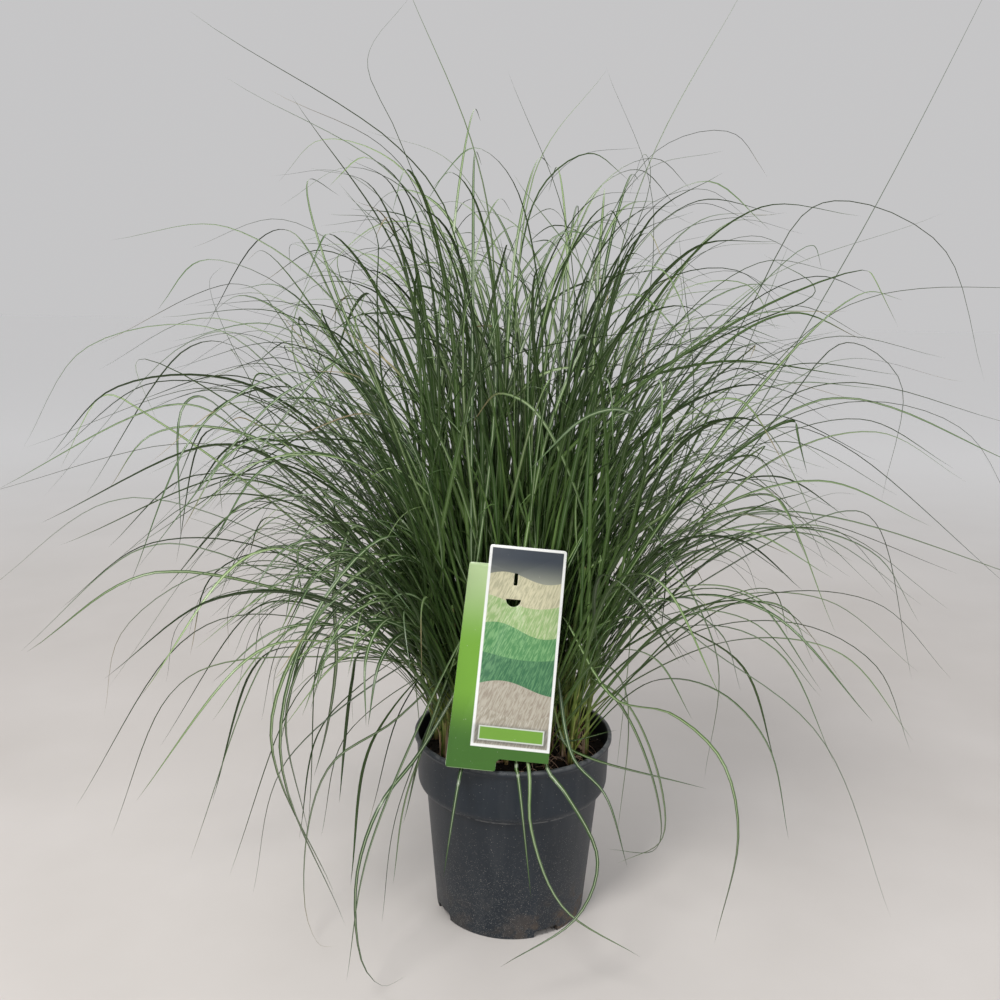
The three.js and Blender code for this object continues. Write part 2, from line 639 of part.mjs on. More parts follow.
const leafCount = () => tillers.reduce((sum, tiller) => sum + tiller.leaves.length, 0);
for (let rank = 0; rank < LEAF_RANKS; rank++) {
  for (const [owner, tiller] of tillers.entries()) {
    if (tiller.leaves.length <= rank && leafCount() < LEAF_COUNT) placeDrawnLeaf(tiller, owner, rank);
  }
}

// One tiller: the stem with its leaves, grown as one piece.
function makeTiller(tiller) {
  let solid = toSolid(makeStem(tiller));
  for (const stations of tiller.leaves) {
    solid = solid.add(toSolid(makeBlade(stations)));
  }
  return toGeometry(solid);
}

// Soil: fills the container down to its floor. Each stem stands in a plain hole.
function makeSoil() {
  const outer = (height, radius) => [radius - WALL - SEAT_GAP, height];
  const profile = [
    [0, FLOOR_TOP + SEAT_GAP],
    outer(FLOOR_TOP + SEAT_GAP, bodyRadius(FLOOR_TOP + SEAT_GAP)),
    outer(SEAM_HEIGHT, BODY_TOP_RADIUS),
    outer(BAND_FOOT_HEIGHT, BAND_FOOT_RADIUS - 0.4),
    outer(SOIL_TOP - 1.5, BAND_FOOT_RADIUS),
    [72, SOIL_TOP],
    [36, SOIL_TOP + 1],
    [0, SOIL_TOP + 1],
  ];
  const geometry = turned(profile, POT_SIDES);
  const position = geometry.attributes.position;
  for (let i = 0; i < position.count; i++) {
    const x = position.getX(i);
    const y = position.getY(i);
    if (position.getZ(i) > SOIL_TOP - 2 && Math.hypot(x, y) < 100) {
      const wave = Math.sin(x * 0.09 + 1.3) * Math.cos(y * 0.075) + 0.5 * Math.sin((x + y) * 0.13);
      position.setZ(i, position.getZ(i) + SOIL_UNEVENNESS * wave);
    }
  }
  let soil = toSolid(geometry);
  for (const { foot } of tillers) {
    const low = foot.clone();
    low.z = SOIL_TOP - PLANTING_DEPTH - SEAT_GAP;
    const high = foot.clone();
    high.z = SOIL_TOP + 12;
    const bore = STEM_FOOT_RADIUS + SEAT_GAP * 1.3;
    soil = soil.subtract(toSolid(loft([ringAround(low, bore), ringAround(high, bore)])));
  }
  const slot = new THREE.BoxGeometry(
    STAKE.width + 2 * SEAT_GAP,
    LABEL_THICKNESS + 2 * SEAT_GAP,
    SOIL_TOP + 12 - STAKE.foot + SEAT_GAP,
  );
  slot.rotateZ(degrees(LABEL_TURN));
  slot.translate(STAKE.x, STAKE.y, (SOIL_TOP + 12 + STAKE.foot - SEAT_GAP) / 2);
  return toGeometry(soil.subtract(toSolid(slot)));
}

// Label: one die-cut sheet. The card leans back and to the right, and its stake goes straight down.
function makeLabel() {
  const round = 3.5;
  const card = new THREE.Shape();
  card.moveTo(CARD.left + 3.5 + round, CARD.stripTop);
  card.quadraticCurveTo(CARD.left + 3.5, CARD.stripTop, CARD.left + 3.4, CARD.stripTop - round);
  card.lineTo(CARD.left, CARD.tabFoot + round);
  card.quadraticCurveTo(CARD.left, CARD.tabFoot, CARD.left + round, CARD.tabFoot);
  card.lineTo(CARD.tabRight - round, CARD.tabFoot);
  card.quadraticCurveTo(CARD.tabRight, CARD.tabFoot, CARD.tabRight, CARD.tabFoot + round);
  card.lineTo(CARD.tabRight, CARD.foot - 2);
  card.lineTo(CARD.tabRight + 2, CARD.foot);
  card.lineTo(CARD.right, CARD.foot);
  card.lineTo(CARD.right, CARD.top - round);
  card.quadraticCurveTo(CARD.right, CARD.top, CARD.right - round, CARD.top);
  card.lineTo(round, CARD.top);
  card.quadraticCurveTo(0, CARD.top, 0, CARD.top - round);
  card.lineTo(0, CARD.stripTop);
  card.closePath();
  const slot = new THREE.Path();
  slot.moveTo(29, 169);
  slot.lineTo(33, 169);
  slot.lineTo(33, 182);
  slot.lineTo(29, 182);
  slot.closePath();
  const halfMoon = new THREE.Path();
  halfMoon.moveTo(38.5, 154);
  halfMoon.absarc(30.5, 154, 8, 0, -Math.PI, true);
  halfMoon.closePath();
  card.holes.push(slot, halfMoon);
  const sheet = new THREE.ExtrudeGeometry(card, {
    depth: LABEL_THICKNESS, bevelEnabled: false, curveSegments: 3,
  });
  sheet.rotateX(Math.PI / 2);
  sheet.translate(0, LABEL_THICKNESS, 0);
  sheet.applyMatrix4(labelPlace.matrixWorld);
  const half = STAKE.width / 2;
  const outline = new THREE.Shape();
  outline.moveTo(0, STAKE.foot);
  outline.lineTo(half, STAKE.foot + STAKE.point);
  outline.lineTo(half, stakeTop);
  outline.lineTo(-half, stakeTop);
  outline.lineTo(-half, STAKE.foot + STAKE.point);
  outline.closePath();
  const stake = new THREE.ExtrudeGeometry(outline, { depth: LABEL_THICKNESS, bevelEnabled: false });
  stake.rotateX(Math.PI / 2);
  stake.translate(0, LABEL_THICKNESS / 2, 0);
  stake.rotateZ(degrees(LABEL_TURN));
  stake.translate(STAKE.x, STAKE.y, 0);
  return toGeometry(toSolid(sheet).add(toSolid(stake)));
}

const potPlastic = new THREE.MeshStandardMaterial({ color: 0x3a3e44, roughness: 0.55, metalness: 0 });
const pottingSoil = new THREE.MeshStandardMaterial({ color: 0x17120e, roughness: 1, metalness: 0 });
const labelPlastic = new THREE.MeshStandardMaterial({ color: 0x6aa33c, roughness: 0.35, metalness: 0 });
const leafGreens = [0x3f6a34, 0x4b7a3c, 0x35592f, 0x5a8447].map((color) => (
  new THREE.MeshStandardMaterial({ color, roughness: 0.6, metalness: 0 })
));

const plant = new THREE.Group();

function addPiece(name, geometry, material, place) {
  const piece = new THREE.Mesh(geometry, material);
  piece.name = name;
  if (place) {
    geometry.translate(-place.x, -place.y, -place.z);
    piece.position.copy(place);
  }
  plant.add(piece);
}

addPiece('pot', makePot(), potPlastic);
addPiece('soil', makeSoil(), pottingSoil);
addPiece('plant_label', makeLabel(), labelPlastic, LABEL_CORNER);
tillers.forEach((tiller, i) => {
  const number = String(i + 1).padStart(2, '0');
  addPiece(`tiller_${number}`, makeTiller(tiller), leafGreens[i % leafGreens.length], tiller.foot);
});

export default plant;
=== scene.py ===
import math

import bmesh
import bpy
import numpy as np
from mathutils import Matrix, Vector, noise


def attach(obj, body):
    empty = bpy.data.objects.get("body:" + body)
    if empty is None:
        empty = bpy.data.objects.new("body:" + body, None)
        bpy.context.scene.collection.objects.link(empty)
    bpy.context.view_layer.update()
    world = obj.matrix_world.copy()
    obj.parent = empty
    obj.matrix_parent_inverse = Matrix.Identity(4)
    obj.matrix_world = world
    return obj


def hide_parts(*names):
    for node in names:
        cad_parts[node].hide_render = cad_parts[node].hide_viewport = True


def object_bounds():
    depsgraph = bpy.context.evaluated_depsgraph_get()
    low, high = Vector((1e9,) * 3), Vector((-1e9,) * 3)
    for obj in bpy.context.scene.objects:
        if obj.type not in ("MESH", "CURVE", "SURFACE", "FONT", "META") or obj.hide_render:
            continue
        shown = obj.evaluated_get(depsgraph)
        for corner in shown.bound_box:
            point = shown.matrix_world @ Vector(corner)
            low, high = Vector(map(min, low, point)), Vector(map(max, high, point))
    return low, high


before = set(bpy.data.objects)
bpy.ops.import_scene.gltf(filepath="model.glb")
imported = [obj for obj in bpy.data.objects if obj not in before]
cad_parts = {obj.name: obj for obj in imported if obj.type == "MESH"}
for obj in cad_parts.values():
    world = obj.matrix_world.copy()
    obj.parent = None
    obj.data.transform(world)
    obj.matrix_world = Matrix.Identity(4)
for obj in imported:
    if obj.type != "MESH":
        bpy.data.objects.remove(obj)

cad_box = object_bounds()


# The view. A plain pale floor under soft studio light. The camera stands a metre in front of the plant and
# looks slightly down at it.
CAMERA_PLACE = (-0.020, -1.086, 0.700)
CAMERA_TILT = 0.197
CAMERA_ROLL = 0.018
CAMERA_LENS, CAMERA_SENSOR, CAMERA_NEAR = 36, 36, 0.02
FLOOR_SIZE = 60
DARK_FLOOR, PALE_FLOOR, FAR_FLOOR = (0.52, 0.49, 0.465), (0.62, 0.59, 0.57), (0.99, 0.99, 0.99)
FADE_START, FADE_END = 0.9, 4.5
BACKDROP_COLOUR = (0.88, 0.875, 0.885, 1)
BACKDROP_LIGHT = 0.64
LAMP_AIM = Vector((0, 0, 0.45))
LAMPS = [
    # place, size, watts, colour
    ((-0.8, -1.35, 2.2), 0.6, 46, (1.0, 0.985, 0.96)),
    ((1.7, -1.4, 1.5), 1.1, 13, (0.98, 0.985, 1.0)),
    ((-0.4, 1.7, 2.1), 1.4, 9, (1.0, 0.99, 0.97)),
]


def put(tree, kind, inputs=None, **settings):
    """A shader node with its settings, its values and what is linked to it."""
    node = tree.nodes.new("ShaderNode" + kind)
    for key, value in settings.items():
        setattr(node, key, value)
    for key, value in (inputs or {}).items():
        if isinstance(value, bpy.types.NodeSocket):
            tree.links.new(value, node.inputs[key])
        else:
            node.inputs[key].default_value = value
    return node


def sums(tree, operation, *values):
    """The output of a Math node on sockets or numbers."""
    return put(tree, "Math", dict(enumerate(values)), operation=operation).outputs[0]


def product(tree, *values):
    """All the values multiplied together."""
    so_far = values[0]
    for value in values[1:]:
        so_far = sums(tree, "MULTIPLY", so_far, value)
    return so_far


def ramp(tree, value, low, high, start=0.0, end=1.0):
    """A smooth step from start to end while value goes from low to high."""
    inputs = {"Value": value, "From Min": low, "From Max": high, "To Min": start, "To Max": end}
    return put(tree, "MapRange", inputs, interpolation_type="SMOOTHSTEP").outputs[0]


def mixed(tree, share, first, second):
    """Two colours mixed by a share. A colour is its red, green and blue, or comes from another node."""
    first, second = ((*colour, 1) if isinstance(colour, tuple) else colour for colour in (first, second))
    return put(tree, "Mix", {0: share, 6: first, 7: second}, data_type="RGBA").outputs[2]


def own_place(tree):
    """Where a point lies in the piece's own coordinates, in metres."""
    return put(tree, "TexCoord").outputs["Object"]


def apart(tree, vector):
    """The three parts of a place or a direction."""
    return put(tree, "SeparateXYZ", {0: vector}).outputs


def mottle(tree, where, scale, detail, **more):
    """Cloudy noise, with about as many patches to the metre as scale says."""
    return put(tree, "TexNoise", {"Vector": where, "Scale": scale, "Detail": detail, **more}).outputs[0]


def new_material(name, **values):
    """A material's node tree and its Principled shader, with the values that are the same all over."""
    material = bpy.data.materials.new(name)
    material.use_nodes = True
    tree = material.node_tree
    shader = next(node for node in tree.nodes if node.type == "BSDF_PRINCIPLED")
    for key, value in values.items():
        shader.inputs[key.replace("_", " ")].default_value = value
    return material, tree, shader


def new_group(name, inputs, output):
    """An empty shader group with named value inputs and one output."""
    group = bpy.data.node_groups.new(name, "ShaderNodeTree")
    for socket, value in inputs.items():
        made = group.interface.new_socket(socket, in_out="INPUT", socket_type="NodeSocketFloat")
        made.default_value = value
    group.interface.new_socket(output, in_out="OUTPUT", socket_type="NodeSocketFloat")
    return group, group.nodes.new("NodeGroupInput").outputs, group.nodes.new("NodeGroupOutput").inputs[0]


def place_group(tree, group, **values):
    """A group's output in a material, with this material's own values."""
    return put(tree, "Group", values, node_tree=group).outputs[0]


# Slow patches of tone, as handling, light and wear leave on every surface.
patchy_tone, given, result = new_group("patchy_tone", {"Scale": 20, "Spread": 1}, "Share")
clouds = mottle(patchy_tone, own_place(patchy_tone), given["Scale"], 5)
clouds = product(patchy_tone, sums(patchy_tone, "SUBTRACT", clouds, 0.5), given["Spread"])
patchy_tone.links.new(sums(patchy_tone, "ADD", clouds, 0.5), result)

bpy.ops.object.camera_add()
camera = bpy.context.object
camera.name = "camera"
camera.matrix_world = (
    Matrix.Translation(CAMERA_PLACE)
    @ Matrix.Rotation(math.pi / 2 - CAMERA_TILT, 4, "X")
    @ Matrix.Rotation(CAMERA_ROLL, 4, "Z")
)
camera.data.lens = CAMERA_LENS
camera.data.sensor_width = CAMERA_SENSOR
camera.data.clip_start = CAMERA_NEAR
bpy.context.scene.camera = camera

bpy.ops.object.select_all(action="DESELECT")
bpy.ops.mesh.primitive_plane_add(size=FLOOR_SIZE)
floor = bpy.context.object
floor.name = "floor"
floor_paint, tree, shader = new_material("floor_paint", Roughness=0.55)
paint = mixed(tree, place_group(tree, patchy_tone, Scale=3.0, Spread=1.4), DARK_FLOOR, PALE_FLOOR)
# Far off, the floor is painted lighter as painted light, making up for the lamps' light falling off, so that
# it is as light as the backdrop and no horizon shows.
from_plant = put(tree, "VectorMath", {0: own_place(tree)}, operation="LENGTH").outputs["Value"]
paint = mixed(tree, ramp(tree, from_plant, FADE_START, FADE_END), paint, FAR_FLOOR)
tree.links.new(paint, shader.inputs["Base Color"])
floor.data.materials.append(floor_paint)

for place, size, watts, colour in LAMPS:
    bpy.ops.object.light_add(type="AREA", location=place)
    lamp = bpy.context.object
    lamp.data.size = size
    lamp.data.energy = watts
    lamp.data.color = colour
    lamp.rotation_euler = (LAMP_AIM - Vector(place)).to_track_quat("-Z", "Y").to_euler()

world = bpy.data.worlds.new("studio")
world.use_nodes = True
backdrop = world.node_tree.nodes["Background"]
backdrop.inputs["Color"].default_value = BACKDROP_COLOUR
backdrop.inputs["Strength"].default_value = BACKDROP_LIGHT
bpy.context.scene.world = world
bpy.context.scene.view_settings.view_transform = "Standard"


# The nursery container: one moulding of recycled anthracite plastic, tapering down, with a stepped-out band,
# a flared lip and drainage notches in its foot ring. It is dusty and scuffed from the bench.
MM = 0.001
POT_SIDES = 144
FOOT_RADIUS, FOOT_RING, UNDERSIDE, POT_FLOOR = 86.8, 5, 5, 7.5
SEAM_HEIGHT, BODY_TOP_RADIUS = 149, 100
BAND_FOOT, BAND_FOOT_RADIUS, BAND_TOP_RADIUS = 162, 109.6, 110.8
BAND_MIDDLE, BAND_TOP, LIP_FOOT = 184, 204, 209.4
LIP_RADIUS, POT_HEIGHT, POT_WALL = 113.75, 214, 2
SHOULDER_STEPS = 7
NOTCH_COUNT, NOTCH_WIDTH, NOTCH_HEIGHT, NOTCH_DEPTH = 4, 30, 8.5, 15
FIRST_NOTCH, NOTCH_ROUNDING, EDGE_ROUNDING, EDGE_ANGLE = math.radians(28), 4, 0.35, math.radians(48)
DARK_PLASTIC, PALE_PLASTIC, FLOW_STREAK = (0.011, 0.017, 0.024), (0.024, 0.031, 0.041), (0.042, 0.048, 0.055)
DUST, DUST_SPECK = (0.12, 0.12, 0.115), (0.36, 0.35, 0.32)
DUST_TOP, SPLASH_TOP, SPLASH_FOOT = 160, 62, 4
RUBBED_PLASTIC, DRIED_SPLASH = (0.23, 0.235, 0.235), (0.155, 0.112, 0.076)


def shoulder(inset):
    """The rounded step from the body out to the band, as [radius, height] pairs in millimetres."""
    across = BAND_FOOT_RADIUS - BODY_TOP_RADIUS - 1.1
    turns = [math.pi / 2 * step / SHOULDER_STEPS for step in range(SHOULDER_STEPS + 1)]
    return [
        (
            BAND_FOOT_RADIUS - inset - across * (1 - math.sin(turn)),
            BAND_FOOT + inset * 0.4 - (BAND_FOOT - SEAM_HEIGHT - 1.2) * math.cos(turn),
        )
        for turn in turns
    ]


def start_edit():
    """The whole active piece is selected in edit mode."""
    bpy.ops.object.mode_set(mode="EDIT")
    bpy.ops.mesh.select_all(action="SELECT")


def end_edit():
    """Every face is turned outwards, and edit mode ends."""
    bpy.ops.mesh.select_all(action="SELECT")
    bpy.ops.mesh.normals_make_consistent(inside=False)
    bpy.ops.object.mode_set(mode="OBJECT")


def turn_on_axis(name, profile, sides):
    """A ring of edges drawn through the profile's stops by extruding and scaling, closed at both ends."""
    bpy.ops.object.select_all(action="DESELECT")
    radius, height = profile[0]
    bpy.ops.mesh.primitive_circle_add(
        vertices=sides, radius=radius * MM, fill_type="NGON", location=(0, 0, height * MM),
    )
    piece = bpy.context.object
    piece.name = name
    bpy.ops.object.transform_apply(location=True, rotation=True, scale=True)
    start_edit()
    bpy.ops.mesh.delete(type="ONLY_FACE")
    bpy.ops.mesh.select_all(action="SELECT")
    for next_radius, next_height in profile[1:]:
        bpy.ops.mesh.extrude_region_move(
            TRANSFORM_OT_translate={"value": (0, 0, (next_height - height) * MM)},
        )
        share = next_radius / radius
        bpy.ops.transform.resize(value=(share, share, 1), center_override=(0, 0, next_height * MM))
        radius, height = next_radius, next_height
    bpy.ops.mesh.edge_face_add()
    bpy.ops.mesh.select_all(action="DESELECT")
    bpy.ops.mesh.select_non_manifold()
    bpy.ops.mesh.edge_face_add()
    end_edit()
    return piece


def select_only(*pieces):
    """The pieces are selected, and the first of them is active."""
    bpy.ops.object.select_all(action="DESELECT")
    for piece in pieces:
        piece.select_set(True)
    bpy.context.view_layer.objects.active = pieces[0]


def apply_modifier(piece, kind, **settings):
    select_only(piece)
    bpy.ops.object.modifier_add(type=kind)
    modifier = piece.modifiers[-1]
    for key, value in settings.items():
        setattr(modifier, key, value)
    bpy.ops.object.modifier_apply(modifier=modifier.name)


def smooth_by_angle(piece, angle):
    select_only(piece)
    bpy.ops.object.shade_smooth_by_angle(angle=math.radians(angle))


def coat(tree, shader, colour, relief, strength, depth):
    """The shader's colour, and its relief: how strongly it shows, and how deep it is in metres."""
    tree.links.new(colour, shader.inputs["Base Color"])
    bump = put(tree, "Bump", {"Strength": strength, "Distance": depth, "Height": relief})
    tree.links.new(bump.outputs[0], shader.inputs["Normal"])


pot_profile = [
    (FOOT_RADIUS - FOOT_RING, UNDERSIDE),
    (FOOT_RADIUS - FOOT_RING + 1, 0.3),
    (FOOT_RADIUS - FOOT_RING + 1.4, 0),
    (FOOT_RADIUS - 0.7, 0),
    (FOOT_RADIUS, 0.8),
    (FOOT_RADIUS + 0.6, 7),
    (BODY_TOP_RADIUS - 0.25, SEAM_HEIGHT - 2.4),
    (BODY_TOP_RADIUS + 0.45, SEAM_HEIGHT - 1.2),
    (BODY_TOP_RADIUS + 0.55, SEAM_HEIGHT - 0.2),
    *shoulder(0),
    ((BAND_FOOT_RADIUS + BAND_TOP_RADIUS) / 2, BAND_MIDDLE),
    (BAND_TOP_RADIUS, BAND_TOP),
    (BAND_TOP_RADIUS + 0.9, BAND_TOP + 2.6),
    (LIP_RADIUS - 0.5, LIP_FOOT - 1),
    (LIP_RADIUS, LIP_FOOT),
    (LIP_RADIUS, POT_HEIGHT - 1.7),
    (LIP_RADIUS - 0.5, POT_HEIGHT - 0.5),
    (LIP_RADIUS - 1.6, POT_HEIGHT),
    (BAND_TOP_RADIUS - POT_WALL + 1.3, POT_HEIGHT),
    (BAND_TOP_RADIUS - POT_WALL + 0.5, POT_HEIGHT - 0.9),
    (BAND_TOP_RADIUS - POT_WALL, BAND_TOP),
    *reversed(shoulder(POT_WALL)),
    (BODY_TOP_RADIUS - POT_WALL, SEAM_HEIGHT),
    (FOOT_RADIUS - POT_WALL + 0.8, POT_FLOOR + 1.5),
    (FOOT_RADIUS - POT_WALL - 0.8, POT_FLOOR),
]
container = turn_on_axis("container", pot_profile, POT_SIDES)

# The cutter for the drainage notches: a box with rounded upper edges, repeated round the foot.
bpy.ops.object.select_all(action="DESELECT")
bpy.ops.mesh.primitive_cube_add(size=1, location=((FOOT_RADIUS - NOTCH_DEPTH / 2 + 4) * MM, 0, 0))
cutter = bpy.context.object
cutter.scale = (NOTCH_DEPTH * MM, NOTCH_WIDTH * MM, 2 * NOTCH_HEIGHT * MM)
bpy.ops.object.transform_apply(location=True, rotation=True, scale=True)
bpy.ops.object.mode_set(mode="EDIT")
bpy.ops.mesh.select_all(action="DESELECT")
cutter_mesh = bmesh.from_edit_mesh(cutter.data)
for edge in cutter_mesh.edges:
    along_radius = abs(edge.verts[0].co.x - edge.verts[1].co.x) > NOTCH_DEPTH * MM / 2
    edge.select = along_radius and edge.verts[0].co.z > 0
bmesh.update_edit_mesh(cutter.data)
bpy.ops.mesh.bevel(offset=NOTCH_ROUNDING * MM, segments=4)
bpy.ops.object.mode_set(mode="OBJECT")
cutters = [cutter]
for i in range(1, NOTCH_COUNT):
    copy = cutter.copy()
    copy.data = cutter.data.copy()
    bpy.context.collection.objects.link(copy)
    cutters.append(copy)
for i, copy in enumerate(cutters):
    copy.data.transform(Matrix.Rotation(FIRST_NOTCH + i * 2 * math.pi / NOTCH_COUNT, 4, "Z"))
select_only(*cutters)
bpy.ops.object.join()
apply_modifier(container, "BOOLEAN", operation="DIFFERENCE", object=cutter, solver="EXACT")
bpy.data.objects.remove(cutter)
apply_modifier(
    container, "BEVEL", width=EDGE_ROUNDING * MM, segments=2, limit_method="ANGLE", angle_limit=EDGE_ANGLE,
)
smooth_by_angle(container, 32)

# Small specks of dust, potting mix or grit. Density is the share of cells that hold one.
fine_specks, given, result = new_group("fine_specks", {"Scale": 400, "Size": 0.2, "Density": 0.3}, "Mask")
cells = put(fine_specks, "TexVoronoi", {"Vector": own_place(fine_specks), "Scale": given["Scale"]}).outputs
drawn = put(fine_specks, "SeparateColor", {0: cells["Color"]}).outputs
size = product(fine_specks, given["Size"], sums(fine_specks, "ADD", 0.35, drawn[1]))
inputs = {"Value": cells["Distance"], "From Min": size, "From Max": product(fine_specks, size, 0.5)}
speck = put(fine_specks, "MapRange", inputs).outputs[0]
held = sums(fine_specks, "LESS_THAN", drawn[0], given["Density"])
speck = product(fine_specks, speck, sums(fine_specks, "ADD", 0.3, drawn[2]), held)
fine_specks.links.new(speck, result)

pot_plastic, tree, shader = new_material("pot_plastic", Specular_IOR_Level=0.30)
position = own_place(tree)
sideways, _, up = apart(tree, position)


def belt(level, outer, inner):
    """A mask for a belt round the container at a level in millimetres. It fades from inner to outer."""
    from_level = sums(tree, "ABSOLUTE", sums(tree, "SUBTRACT", up, level * MM))
    return ramp(tree, from_level, outer * MM, inner * MM)


tone = place_group(tree, patchy_tone, Scale=16, Spread=1.7)
colour = mixed(tree, tone, DARK_PLASTIC, PALE_PLASTIC)
# Fine flow streaks of the moulding, nearly upright.
upright = put(tree, "Mapping", {"Vector": position, "Scale": (1, 1, 0.12)}).outputs[0]
streaks = mottle(tree, upright, 90, 4)
colour = mixed(tree, ramp(tree, streaks, 0.42, 0.75, 0, 0.35), colour, FLOW_STREAK)
# Dust clings more to the lower half.
low_half = ramp(tree, up, DUST_TOP * MM, 0, 0.05, 1)
haze = product(tree, ramp(tree, mottle(tree, position, 55, 8, Roughness=0.7), 0.46, 0.76), low_half)
colour = mixed(tree, product(tree, haze, 0.28), colour, DUST)
small = place_group(tree, fine_specks, Scale=980, Size=0.40, Density=product(tree, low_half, 0.7))
large = place_group(tree, fine_specks, Scale=480, Size=0.24, Density=product(tree, low_half, 0.08))
specks = sums(tree, "MAXIMUM", small, large)
colour = mixed(tree, product(tree, specks, 0.55), colour, DUST_SPECK)
# The bead at the seam and the edge of the lip are rubbed pale, and the step above the seam is scuffed.
worn = mottle(tree, position, 140, 6)
seam_rub = product(tree, belt(SEAM_HEIGHT - 0.5, 1.6, 0.2), ramp(tree, worn, 0.36, 0.6))
lengthwise = put(tree, "Mapping", {"Vector": position, "Scale": (1, 1, 3)}).outputs[0]
scuffs = ramp(tree, mottle(tree, lengthwise, 260, 6, Roughness=0.8), 0.52, 0.68, 0, 0.9)
seam_scuff = product(tree, belt(SEAM_HEIGHT + 4.5, 7, 0.5), scuffs)
lip_edge = ramp(tree, up, (POT_HEIGHT - 4.5) * MM, (POT_HEIGHT - 0.8) * MM, 0, 0.6)
lip_rub = product(tree, lip_edge, ramp(tree, worn, 0.34, 0.62, 0.25, 1))
rubbed = sums(tree, "MAXIMUM", sums(tree, "MAXIMUM", seam_rub, seam_scuff), lip_rub)
colour = mixed(tree, product(tree, rubbed, 0.6), colour, RUBBED_PLASTIC)
# Dried splashes of potting mix near the foot, most on the right.
near_foot = ramp(tree, up, SPLASH_TOP * MM, SPLASH_FOOT * MM)
on_right = ramp(tree, sideways, -0.02, 0.085, 0.18, 1)
splash_edge = ramp(tree, mottle(tree, position, 42, 9, Roughness=0.65), 0.47, 0.6)
splash = product(tree, near_foot, on_right, splash_edge)
colour = mixed(tree, product(tree, splash, 0.8), colour, DRIED_SPLASH)
dull = sums(tree, "MAXIMUM", splash, product(tree, haze, 0.6))
dull = sums(tree, "ADD", dull, product(tree, tone, 0.3))
tree.links.new(ramp(tree, dull, 0, 1.2, 0.42, 0.82), shader.inputs["Roughness"])
relief = sums(tree, "ADD", product(tree, mottle(tree, position, 1500, 3), 0.5), specks)
relief = sums(tree, "ADD", relief, product(tree, streaks, 0.6))
coat(tree, shader, colour, relief, 0.35, 0.0004)
container.data.materials.append(pot_plastic)
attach(container, "root")
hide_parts("pot")


# The potting soil: dark peat with fibres and bark, filled to two centimetres below the lip. It is one body
# down to the container's floor, with loose crumbs, shreds and roots on top.
SOIL_TOP, SOIL_WAVE, SEAT_GAP = 193, 2.2, 0.3
SOIL_SIDES, SOIL_RINGS = 150, 40
SOIL_RADIUS = BAND_FOOT_RADIUS - POT_WALL - SEAT_GAP
CRUMB_COUNT, SHRED_COUNT = 520, 130
CRUMB_SIZES, SHRED_LENGTHS, SHRED_WIDTHS, SHRED_THICKNESS = (0.7, 2.1), (2.5, 7.5), (0.6, 1.5), 0.6
DARK_PEAT, PALE_PEAT, PEAT_FIBRE = (0.004, 0.003, 0.0025), (0.020, 0.014, 0.010), (0.070, 0.045, 0.027)
GRIT = (0.36, 0.31, 0.24)
DARK_BARK, PALE_BARK, SPLINTERED_BARK = (0.020, 0.012, 0.008), (0.095, 0.055, 0.032), (0.20, 0.14, 0.09)
chance = np.random.default_rng(4117)


def soil_height(x, y):
    """How high the soil stands at a point, in metres: its slow waves and its crumbly surface."""
    wave = math.sin(x * 90 + 1.3) * math.cos(y * 75) + 0.5 * math.sin((x + y) * 130)
    lumps = noise.noise((x * 60, y * 60, 3.1)) * 1.3 + noise.noise((x * 190, y * 190, 8.7)) * 0.9
    return (SOIL_TOP + SOIL_WAVE * wave + lumps) * MM


soil_profile = [
    (FOOT_RADIUS - POT_WALL - SEAT_GAP - 0.6, POT_FLOOR + SEAT_GAP),
    (FOOT_RADIUS - POT_WALL - SEAT_GAP + 0.8, POT_FLOOR + 2.5),
    (BODY_TOP_RADIUS - POT_WALL - SEAT_GAP, SEAM_HEIGHT),
    (SOIL_RADIUS - 3, BAND_FOOT - 6),
    (SOIL_RADIUS - 0.3, BAND_FOOT + 1),
    (SOIL_RADIUS, SOIL_TOP - 3),
    *[((SOIL_RADIUS - 0.6) * (1 - ring / SOIL_RINGS) + 0.5, SOIL_TOP) for ring in range(SOIL_RINGS)],
]
soil = turn_on_axis("soil_fill", soil_profile, SOIL_SIDES)
for vertex in soil.data.vertices:
    if vertex.co.z > (SOIL_TOP - 1) * MM:
        vertex.co.z = soil_height(vertex.co.x, vertex.co.y)
smooth_by_angle(soil, 50)

peat, tree, shader = new_material("peat", Roughness=0.95, Specular_IOR_Level=0.2)
position = own_place(tree)
colour = mixed(tree, place_group(tree, patchy_tone, Scale=150, Spread=1.6), DARK_PEAT, PALE_PEAT)
fibres = mottle(tree, position, 520, 6, Distortion=2.2)
colour = mixed(tree, ramp(tree, fibres, 0.58, 0.72, 0, 0.5), colour, PEAT_FIBRE)
colour = mixed(tree, place_group(tree, fine_specks, Scale=300, Size=0.3, Density=0.05), colour, GRIT)
coat(tree, shader, colour, mottle(tree, position, 700, 8, Roughness=0.75), 0.9, 0.0012)
soil.data.materials.append(peat)
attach(soil, "root")
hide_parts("soil")


def mesh_piece(name, points, faces):
    """A piece from its points and faces."""
    mesh = bpy.data.meshes.new(name)
    mesh.from_pydata(np.asarray(points).tolist(), [], [list(face) for face in faces])
    mesh.update()
    piece = bpy.data.objects.new(name, mesh)
    bpy.context.collection.objects.link(piece)
    return piece


def pattern_of(piece):
    """The points and faces of a piece that is modelled once. The piece itself is put away."""
    points = np.array([vertex.co[:] for vertex in piece.data.vertices])
    faces = [list(face.vertices) for face in piece.data.polygons]
    bpy.data.objects.remove(piece)
    return points, faces


def random_turn():
    axis = Vector(chance.normal(size=3)).normalized()
    return np.array(Matrix.Rotation(chance.uniform(0, 2 * math.pi), 3, axis))


